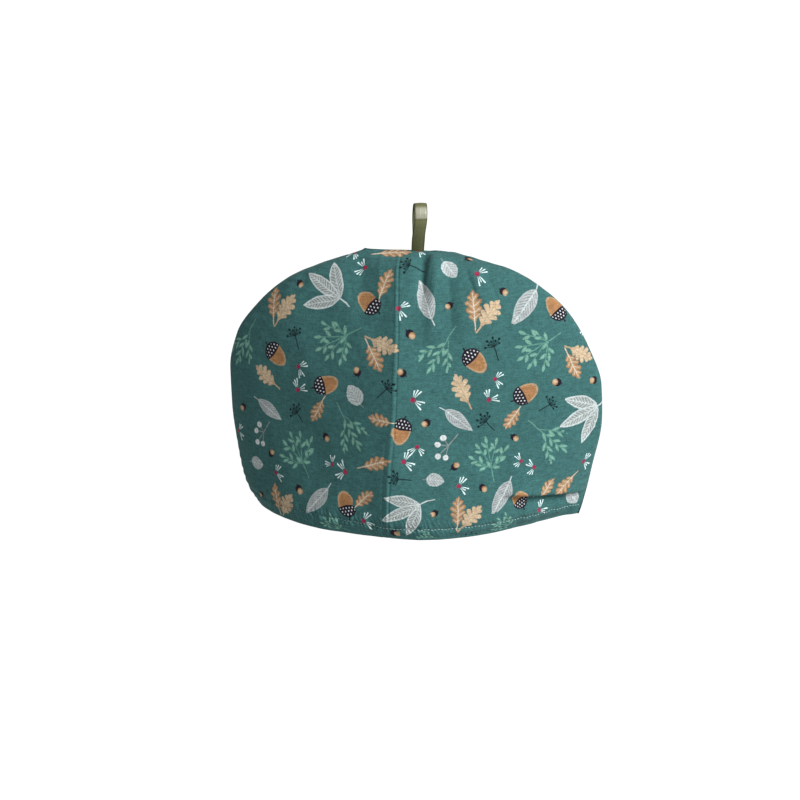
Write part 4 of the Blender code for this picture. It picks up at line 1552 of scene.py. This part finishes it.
def weld(mesh, fill_ends=False):
    """Close the seams of a turned sheet and point its faces outwards."""
    solid = bmesh.new()
    solid.from_mesh(mesh)
    bmesh.ops.remove_doubles(solid, verts=solid.verts, dist=WELD_DISTANCE)
    if fill_ends:
        bmesh.ops.holes_fill(solid, edges=[e for e in solid.edges if e.is_boundary])
    bmesh.ops.recalc_face_normals(solid, faces=solid.faces)
    solid.to_mesh(mesh)
    solid.free()
    mesh.shade_smooth()


def new_piece(mesh, node):
    """Add a mesh as a piece that moves with the cosy."""
    piece = add_thing(mesh.name, mesh)
    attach(piece, BODY)
    if node:
        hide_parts(node)
    return piece


RIM_LENGTH_MM = 1000.0 * math.pi * HEM_RADIUS
BAKE_MARGIN = 0.01
BAKE_SPLIT = 0.33            # the outer cloth is baked above this line, the inner below it


def bake_places(reach_mm, across_mm, on_outer):
    """Places on the square that the cloth's colours are baked to."""
    width = across_mm.max() - across_mm.min()
    height = reach_mm.max() + RIM_LENGTH_MM
    u = BAKE_MARGIN + (across_mm - across_mm.min()) / width * (1.0 - 2.0 * BAKE_MARGIN)
    rise = (reach_mm + RIM_LENGTH_MM) / height
    outer_v = BAKE_SPLIT + rise * (1.0 - BAKE_MARGIN - BAKE_SPLIT)
    inner_v = BAKE_MARGIN - rise * (BAKE_SPLIT - 2.0 * BAKE_MARGIN)
    return np.stack([u, np.where(on_outer, outer_v, inner_v)], axis=-1)


def panel_mesh(name, panel, materials):
    """A panel as one turned sheet: down the outside, round the hem and up the inside."""
    rim = panel.rim()
    grid = np.concatenate([panel.outer[::-1], rim, panel.inner]) + MIDDLE
    grid[:, :, 1] += panel.side * SEAM_CLEARANCE
    grid[:, :, 2] = np.maximum(grid[:, :, 2], 0.0)
    outer_rows, columns = panel.outer.shape[:2]
    mesh = sheet_from_grid(name, grid)
    row, column, face_row, face_column = loop_grid_places(mesh, columns)

    rim_mm = -RIM_LENGTH_MM * np.arange(1, RIM_ROWS + 1) / (RIM_ROWS + 1)
    reach_mm = np.concatenate([panel.up_mm[::-1], rim_mm, -RIM_LENGTH_MM - panel.up_mm])[row]
    across_rows = np.concatenate([
        panel.across_mm[::-1], np.repeat(panel.across_mm[:1], RIM_ROWS, axis=0), panel.across_mm])
    across_mm = across_rows[row, column]
    write_uv(mesh, "cloth", np.stack([across_mm, reach_mm], axis=-1))

    kinds, places = lay_motifs(panel)
    printed = face_row < outer_rows - 1
    motif_row = np.where(printed, outer_rows - 2 - face_row, 0)
    upper = 1 - (row - face_row)
    own = places[motif_row, face_column, upper, column - face_column]
    write_uv(mesh, "motif", np.where(printed[:, None], own, 0.0))
    on_face = np.where(printed, kinds[motif_row, face_column], 0).reshape(-1, 4)[:, 0]
    for material in materials:
        mesh.materials.append(material)
    mesh.polygons.foreach_set("material_index", np.ascontiguousarray(on_face, dtype=np.int32))

    on_outer = face_row < outer_rows + RIM_ROWS - 1
    write_uv(mesh, "OFBake", bake_places(reach_mm, across_mm, on_outer))
    mesh.uv_layers["cloth"].active_render = True
    weld(mesh)
    return mesh


STITCH_SINK = 0.15           # how deep the stitches lie, in parts of their radius
STITCH_SINK_LEFT = 0.7       # and how much deeper they are pulled in at the left
STITCH_SINK_LEFT_AT_MM = (0.0, -60.0)
STITCH_END_MM = 4.0          # from a seam to the row's first or last stitch
StitchWave = namedtuple("StitchWave", "height radians_a_stitch")
STITCH_WAVERS_MM = (StitchWave(0.35, 1.7), StitchWave(0.25, 0.31))
STITCH_LEAN = StitchWave(0.10, 2.3)


def stitch_wave(wave, number):
    """How far the hand strayed at one stitch."""
    return wave.height * math.sin(number * wave.radians_a_stitch)


def add_stitch(mesh, place, along, out, length, radius):
    """Add one stitch, a short thick thread with rounded ends, to a bmesh."""
    side = out.cross(along).normalized()
    turn = Matrix((along, side, out)).transposed().to_4x4()
    made = bmesh.ops.create_uvsphere(mesh, u_segments=8, v_segments=6, radius=1.0)["verts"]
    size = Matrix.Diagonal((length / 2, radius, radius, 1.0))
    bmesh.ops.transform(mesh, matrix=Matrix.Translation(place) @ turn @ size, verts=made)


def hem_stitches(name, panel, pitch, length, radius):
    """The row of stitches round one panel's hem."""
    row = int(np.argmin(np.abs(panel.up_mm - HEM_LINE_MM)))
    start = panel.across_mm[row, 0] + STITCH_END_MM
    end = panel.across_mm[row, -1] - STITCH_END_MM
    stitches = bmesh.new()
    count = int((end - start) / (1000.0 * pitch))
    for number in range(count):
        across_mm = start + (number + 0.5) * (end - start) / count
        waver = sum(stitch_wave(wave, number) for wave in STITCH_WAVERS_MM)
        up_mm = float(hem_line(across_mm)) + waver
        point, east, north, out = panel.place(across_mm, up_mm, panel.outer)
        depth = STITCH_SINK + STITCH_SINK_LEFT * fade(across_mm, *STITCH_SINK_LEFT_AT_MM)
        sunk = Vector(point / 1000.0 + MIDDLE - out * radius * depth)
        sunk.y += panel.side * SEAM_CLEARANCE
        along = Vector(east + north * stitch_wave(STITCH_LEAN, number)).normalized()
        add_stitch(stitches, sunk, along, Vector(out), length, radius)
    mesh = finished(name, stitches)
    mesh.shade_smooth()
    return mesh


# ---------------------------------------------------------------- ribbon loop
RIBBON_X = 0.0025
RIBBON_WIDTH = 0.0115
RIBBON_THICKNESS = 0.0010    # of its CAD solid, in whose middle the ribbon runs
RIBBON_ROOT = 0.0060
RIBBON_LEAN = math.radians(3.5)
RIBBON_TURN = math.radians(14.0)
RIBBON_TURNED_AT = 0.030     # height above the crown at which it has turned that far
# The loop seen from the side, from its front end over the top to its back end
LoopPoint = namedtuple("LoopPoint", "depth height")
LOOP_SIDE = (
    LoopPoint(-0.0012, 0.0010),
    LoopPoint(-0.0032, 0.0080),
    LoopPoint(-0.0064, 0.0180),
    LoopPoint(-0.0086, 0.0270),
    LoopPoint(-0.0082, 0.0340),
    LoopPoint(-0.0040, 0.0395),
    LoopPoint(0.0030, 0.0425),
    LoopPoint(0.0090, 0.0405),
    LoopPoint(0.0112, 0.0340),
    LoopPoint(0.0096, 0.0240),
    LoopPoint(0.0056, 0.0130),
    LoopPoint(0.0024, 0.0060),
    LoopPoint(0.0012, 0.0010),
)
LOOP_STEPS = 7
SECTION_HALF = 10            # points across one face of the ribbon
RIBBON_CUP = 0.0004          # how far its edges curl inwards
RIBBON_SQUARENESS = 12       # of its thin edges
SELVAGE = 0.0009
SELVAGE_BEAD = 0.35          # how much thicker the ribbon is there
ROOT_DEPTH = 0.5             # of the ends in the seam, in parts of their depth at the crown


def loop_path():
    """Middle line of the ribbon seen from the side, with its inward direction."""
    known = np.array(LOOP_SIDE)
    at = np.arange(len(known), dtype=float)
    wanted = np.linspace(0.0, len(known) - 1.0, (len(known) - 1) * LOOP_STEPS + 1)
    path = np.stack([smooth_values(at, known[:, c], wanted) for c in (0, 1)], axis=1)
    along = unit(np.gradient(path, axis=0))
    inward = np.stack([along[:, 1], -along[:, 0]], axis=1)
    path = path + inward * RIBBON_THICKNESS / 2
    root = np.array([0.0, -RIBBON_ROOT])
    ends = [end * (ROOT_DEPTH, 0.0) + root for end in (path[:1], path[-1:])]
    path = np.concatenate([ends[0], path, ends[1]])
    inward = np.concatenate([inward[:1], inward, inward[-1:]])
    return path, inward


def ribbon_section(thickness):
    """Closed section of the ribbon: how far across and how far inwards each point lies."""
    half = RIBBON_WIDTH / 2
    across = -half * np.cos(np.linspace(0.0, math.pi, SECTION_HALF + 1))
    bead = 1.0 + SELVAGE_BEAD * fade(np.abs(across), half - SELVAGE, half - SELVAGE / 2)
    ends = np.sqrt(np.maximum(0.0, 1.0 - (np.abs(across) / half) ** RIBBON_SQUARENESS))
    lift = thickness / 2 * bead * ends
    cup = RIBBON_CUP * (across / half) ** 2
    there = np.stack([across, cup - lift], axis=1)
    back = np.stack([across, cup + lift], axis=1)[::-1]
    return np.concatenate([there, back[1:]])


def ribbon_mesh(thickness):
    """The ribbon loop: its section drawn along the loop, then turned and leaned."""
    path, inward = loop_path()
    section = ribbon_section(thickness)
    grid = np.zeros((len(path), len(section), 3))
    grid[:, :, 0] = section[None, :, 0]
    grid[:, :, 1:] = path[:, None, :] + inward[:, None, :] * section[None, :, 1:]
    height = np.maximum(grid[:, :, 2], 0.0)
    turn = RIBBON_TURN * fade(height, 0.0, RIBBON_TURNED_AT)
    x = grid[:, :, 0] * np.cos(turn) - grid[:, :, 1] * np.sin(turn)
    y = grid[:, :, 0] * np.sin(turn) + grid[:, :, 1] * np.cos(turn)
    grid[:, :, 0] = x + height * math.tan(RIBBON_LEAN) + RIBBON_X
    grid[:, :, 1] = y
    grid[:, :, 2] += BODY_HEIGHT
    mesh = sheet_from_grid("satin_ribbon_loop", grid + MIDDLE)
    row, column, _, _ = loop_grid_places(mesh, len(section))
    length_mm = 1000.0 * np.concatenate(
        [[0.0], np.cumsum(np.linalg.norm(np.diff(path, axis=0), axis=1))])
    write_uv(mesh, "cloth", np.stack([1000.0 * section[column, 0], length_mm[row]], axis=-1))
    weld(mesh, fill_ends=True)
    return mesh, length_mm[-1] / 1000.0


# ---------------------------------------------------------------- stage
CAMERA_AZIMUTH = math.radians(8.0)
CAMERA_ELEVATION = math.radians(20.0)
CAMERA_DISTANCE = 1.45
CAMERA_TARGET = Vector((-0.0128, 0.0, 0.1063))
CAMERA_LENS_MM = 70.0
SENSOR_MM = 36.0
FLOOR_SIZE = 12.0


def from_angles(azimuth, elevation):
    """Direction from the cosy to something that stands round it; 0 is in front."""
    return Vector((math.sin(azimuth) * math.cos(elevation),
                   -math.cos(azimuth) * math.cos(elevation), math.sin(elevation)))


def stand_off(thing, away, distance):
    """Place a camera or lamp at a distance from the cosy and turn it towards it."""
    thing.location = CAMERA_TARGET + away * distance
    thing.rotation_euler = away.to_track_quat("Z", "Y").to_euler()


def add_camera():
    """The camera, at the angle the cosy is shown from."""
    data = bpy.data.cameras.new("camera")
    data.lens = CAMERA_LENS_MM
    data.sensor_width = SENSOR_MM
    data.dof.use_dof = False
    camera = add_thing("camera", data)
    stand_off(camera, from_angles(CAMERA_AZIMUTH, CAMERA_ELEVATION), CAMERA_DISTANCE)
    bpy.context.scene.camera = camera


LIGHT_TABLE_GLOW = 0.98
LIGHT_TABLE_SPILL = 0.55     # part of its glow that reaches the cosy
LIGHT_TABLE_FINISH = {"Base Color": (0.06, 0.06, 0.06, 1.0), "Roughness": 0.9,
                      "Emission Color": rgba(WHITE)}
FLOOR_GAP = 0.0001           # under the hem


def for_camera_and_cosy(tree, to_cosy):
    """1 for what the camera itself sees and a part of that for the light on other things."""
    ray = tree.nodes.new("ShaderNodeLightPath")
    return Ink(tree, ray.outputs["Is Camera Ray"]) * (1.0 - to_cosy) + to_cosy


def add_floor():
    """A plain pale light table."""
    plane = bmesh.new()
    bmesh.ops.create_grid(plane, x_segments=1, y_segments=1, size=FLOOR_SIZE / 2)
    mesh = finished("floor", plane)
    material, tree, shader = new_material("pale floor")
    set_inputs(shader, LIGHT_TABLE_FINISH)
    glow = for_camera_and_cosy(tree, LIGHT_TABLE_SPILL) * LIGHT_TABLE_GLOW
    plug(tree, shader.inputs["Emission Strength"], glow)
    mesh.materials.append(material)
    floor = add_thing("floor", mesh)
    floor.location.z = -FLOOR_GAP


KEY_AZIMUTH = math.radians(66.0)
KEY_ELEVATION = math.radians(37.0)
KEY_DISTANCE = 2.0           # of its mark only, as a sun lights everything evenly
KEY_STRENGTH = 4.5
KEY_SPREAD = math.radians(30.0)      # how wide it looks
SURROUNDINGS = 0.29


def add_key_light():
    """The one soft lamp, to the right."""
    data = bpy.data.lights.new("key", "SUN")
    data.energy = KEY_STRENGTH
    data.angle = KEY_SPREAD
    stand_off(add_thing("key", data), from_angles(KEY_AZIMUTH, KEY_ELEVATION), KEY_DISTANCE)


def add_surroundings():
    """Dim surroundings behind which a white backdrop shows."""
    world = bpy.data.worlds.new("studio")
    world.use_nodes = True
    tree = world.node_tree
    background = tree.nodes["Background"]
    background.inputs["Color"].default_value = rgba(WHITE)
    plug(tree, background.inputs["Strength"], for_camera_and_cosy(tree, SURROUNDINGS))
    bpy.context.scene.world = world
    bpy.context.scene.view_settings.view_transform = "Standard"


# ---------------------------------------------------------------- add-on
def length_choice(name, description, default, low, high):
    """A length that a user can change."""
    return FloatProperty(name=name, description=description, default=default, min=low, max=high,
                         unit="LENGTH", subtype="DISTANCE")


class CosySizes(bpy.types.PropertyGroup):
    """Sizes of the sewing and the ribbon."""

    stitch_pitch: length_choice(
        "Stitch pitch", "From one hem stitch to the next", 0.0031, 0.001, 0.02)
    stitch_length: length_choice(
        "Stitch length", "Length of thread that shows of one stitch", 0.0023, 0.0005, 0.01)
    thread_radius: length_choice(
        "Thread radius", "Half the thickness of the sewing thread", 0.00036, 0.0001, 0.002)
    ribbon_thickness: length_choice(
        "Ribbon thickness", "Thickness of the satin ribbon", 0.0007, 0.0001, 0.003)


PanelPiece = namedtuple("PanelPiece", "side node slot cloth stitches")
PANELS = (
    PanelPiece(-1, "front_panel", "front_cotton", "front_cloth", "front_hem_stitches"),
    PanelPiece(1, "back_panel", "back_cotton", "back_cloth", "back_hem_stitches"),
)


class COSY_OT_panels(bpy.types.Operator):
    """Add the two printed panels"""

    bl_idname = "cosy.panels"
    bl_label = "Add Panels"

    def execute(self, context):
        dyes = context.scene.cosy_colours
        cotton = cotton_group()
        materials = [cotton_material("cotton ground", dyes, cotton)]
        for kind in KINDS:
            name = "cotton " + kind.replace("_", " ")
            materials.append(cotton_material(name, dyes, cotton, motif_group(kind, dyes)))
        for piece in PANELS:
            mesh = panel_mesh(piece.cloth, Panel(piece.side), materials)
            new_piece(mesh, piece.node)
        return {"FINISHED"}


class COSY_OT_stitches(bpy.types.Operator):
    """Sew the hem of both panels"""

    bl_idname = "cosy.stitches"
    bl_label = "Add Hem Stitches"

    def execute(self, context):
        sizes = context.scene.cosy_sizes
        thread = thread_material(context.scene.cosy_colours)
        for piece in PANELS:
            mesh = hem_stitches(piece.stitches, Panel(piece.side), sizes.stitch_pitch,
                                sizes.stitch_length, sizes.thread_radius)
            mesh.materials.append(thread)
            stitches = new_piece(mesh, None)
        return {"FINISHED"}


class COSY_OT_ribbon(bpy.types.Operator):
    """Add the satin ribbon loop"""

    bl_idname = "cosy.ribbon"
    bl_label = "Add Ribbon Loop"

    def execute(self, context):
        mesh, length = ribbon_mesh(context.scene.cosy_sizes.ribbon_thickness)
        mesh.materials.append(satin_material(context.scene.cosy_colours))
        ribbon = new_piece(mesh, "ribbon_loop")
        return {"FINISHED"}


class COSY_OT_stage(bpy.types.Operator):
    """Add the floor, the light and the camera"""

    bl_idname = "cosy.stage"
    bl_label = "Add Stage"

    def execute(self, context):
        add_floor()
        add_key_light()
        add_surroundings()
        add_camera()
        return {"FINISHED"}


class COSY_PT_panel(bpy.types.Panel):
    """Sidebar panel of the tea cosy"""

    bl_label = "Tea Cosy"
    bl_idname = "COSY_PT_panel"
    bl_space_type = "VIEW_3D"
    bl_region_type = "UI"
    bl_category = "Tea Cosy"

    def draw(self, context):
        layout = self.layout
        for group in (context.scene.cosy_sizes, context.scene.cosy_colours):
            for name in group.__annotations__:
                layout.prop(group, name)
        for operator in (COSY_OT_panels, COSY_OT_stitches, COSY_OT_ribbon, COSY_OT_stage):
            layout.operator(operator.bl_idname)


CLASSES = (CosyColours, CosySizes, COSY_OT_panels, COSY_OT_stitches, COSY_OT_ribbon,
           COSY_OT_stage, COSY_PT_panel)


def register():
    for cls in CLASSES:
        bpy.utils.register_class(cls)
    bpy.types.Scene.cosy_colours = PointerProperty(type=CosyColours)
    bpy.types.Scene.cosy_sizes = PointerProperty(type=CosySizes)


def unregister():
    del bpy.types.Scene.cosy_sizes
    del bpy.types.Scene.cosy_colours
    for cls in reversed(CLASSES):
        bpy.utils.unregister_class(cls)


def main():
    """Build the cosy and its stage."""
    register()
    bpy.ops.cosy.stage()
    bpy.ops.cosy.panels()
    bpy.ops.cosy.stitches()
    bpy.ops.cosy.ribbon()


if __name__ == "__main__":
    main()
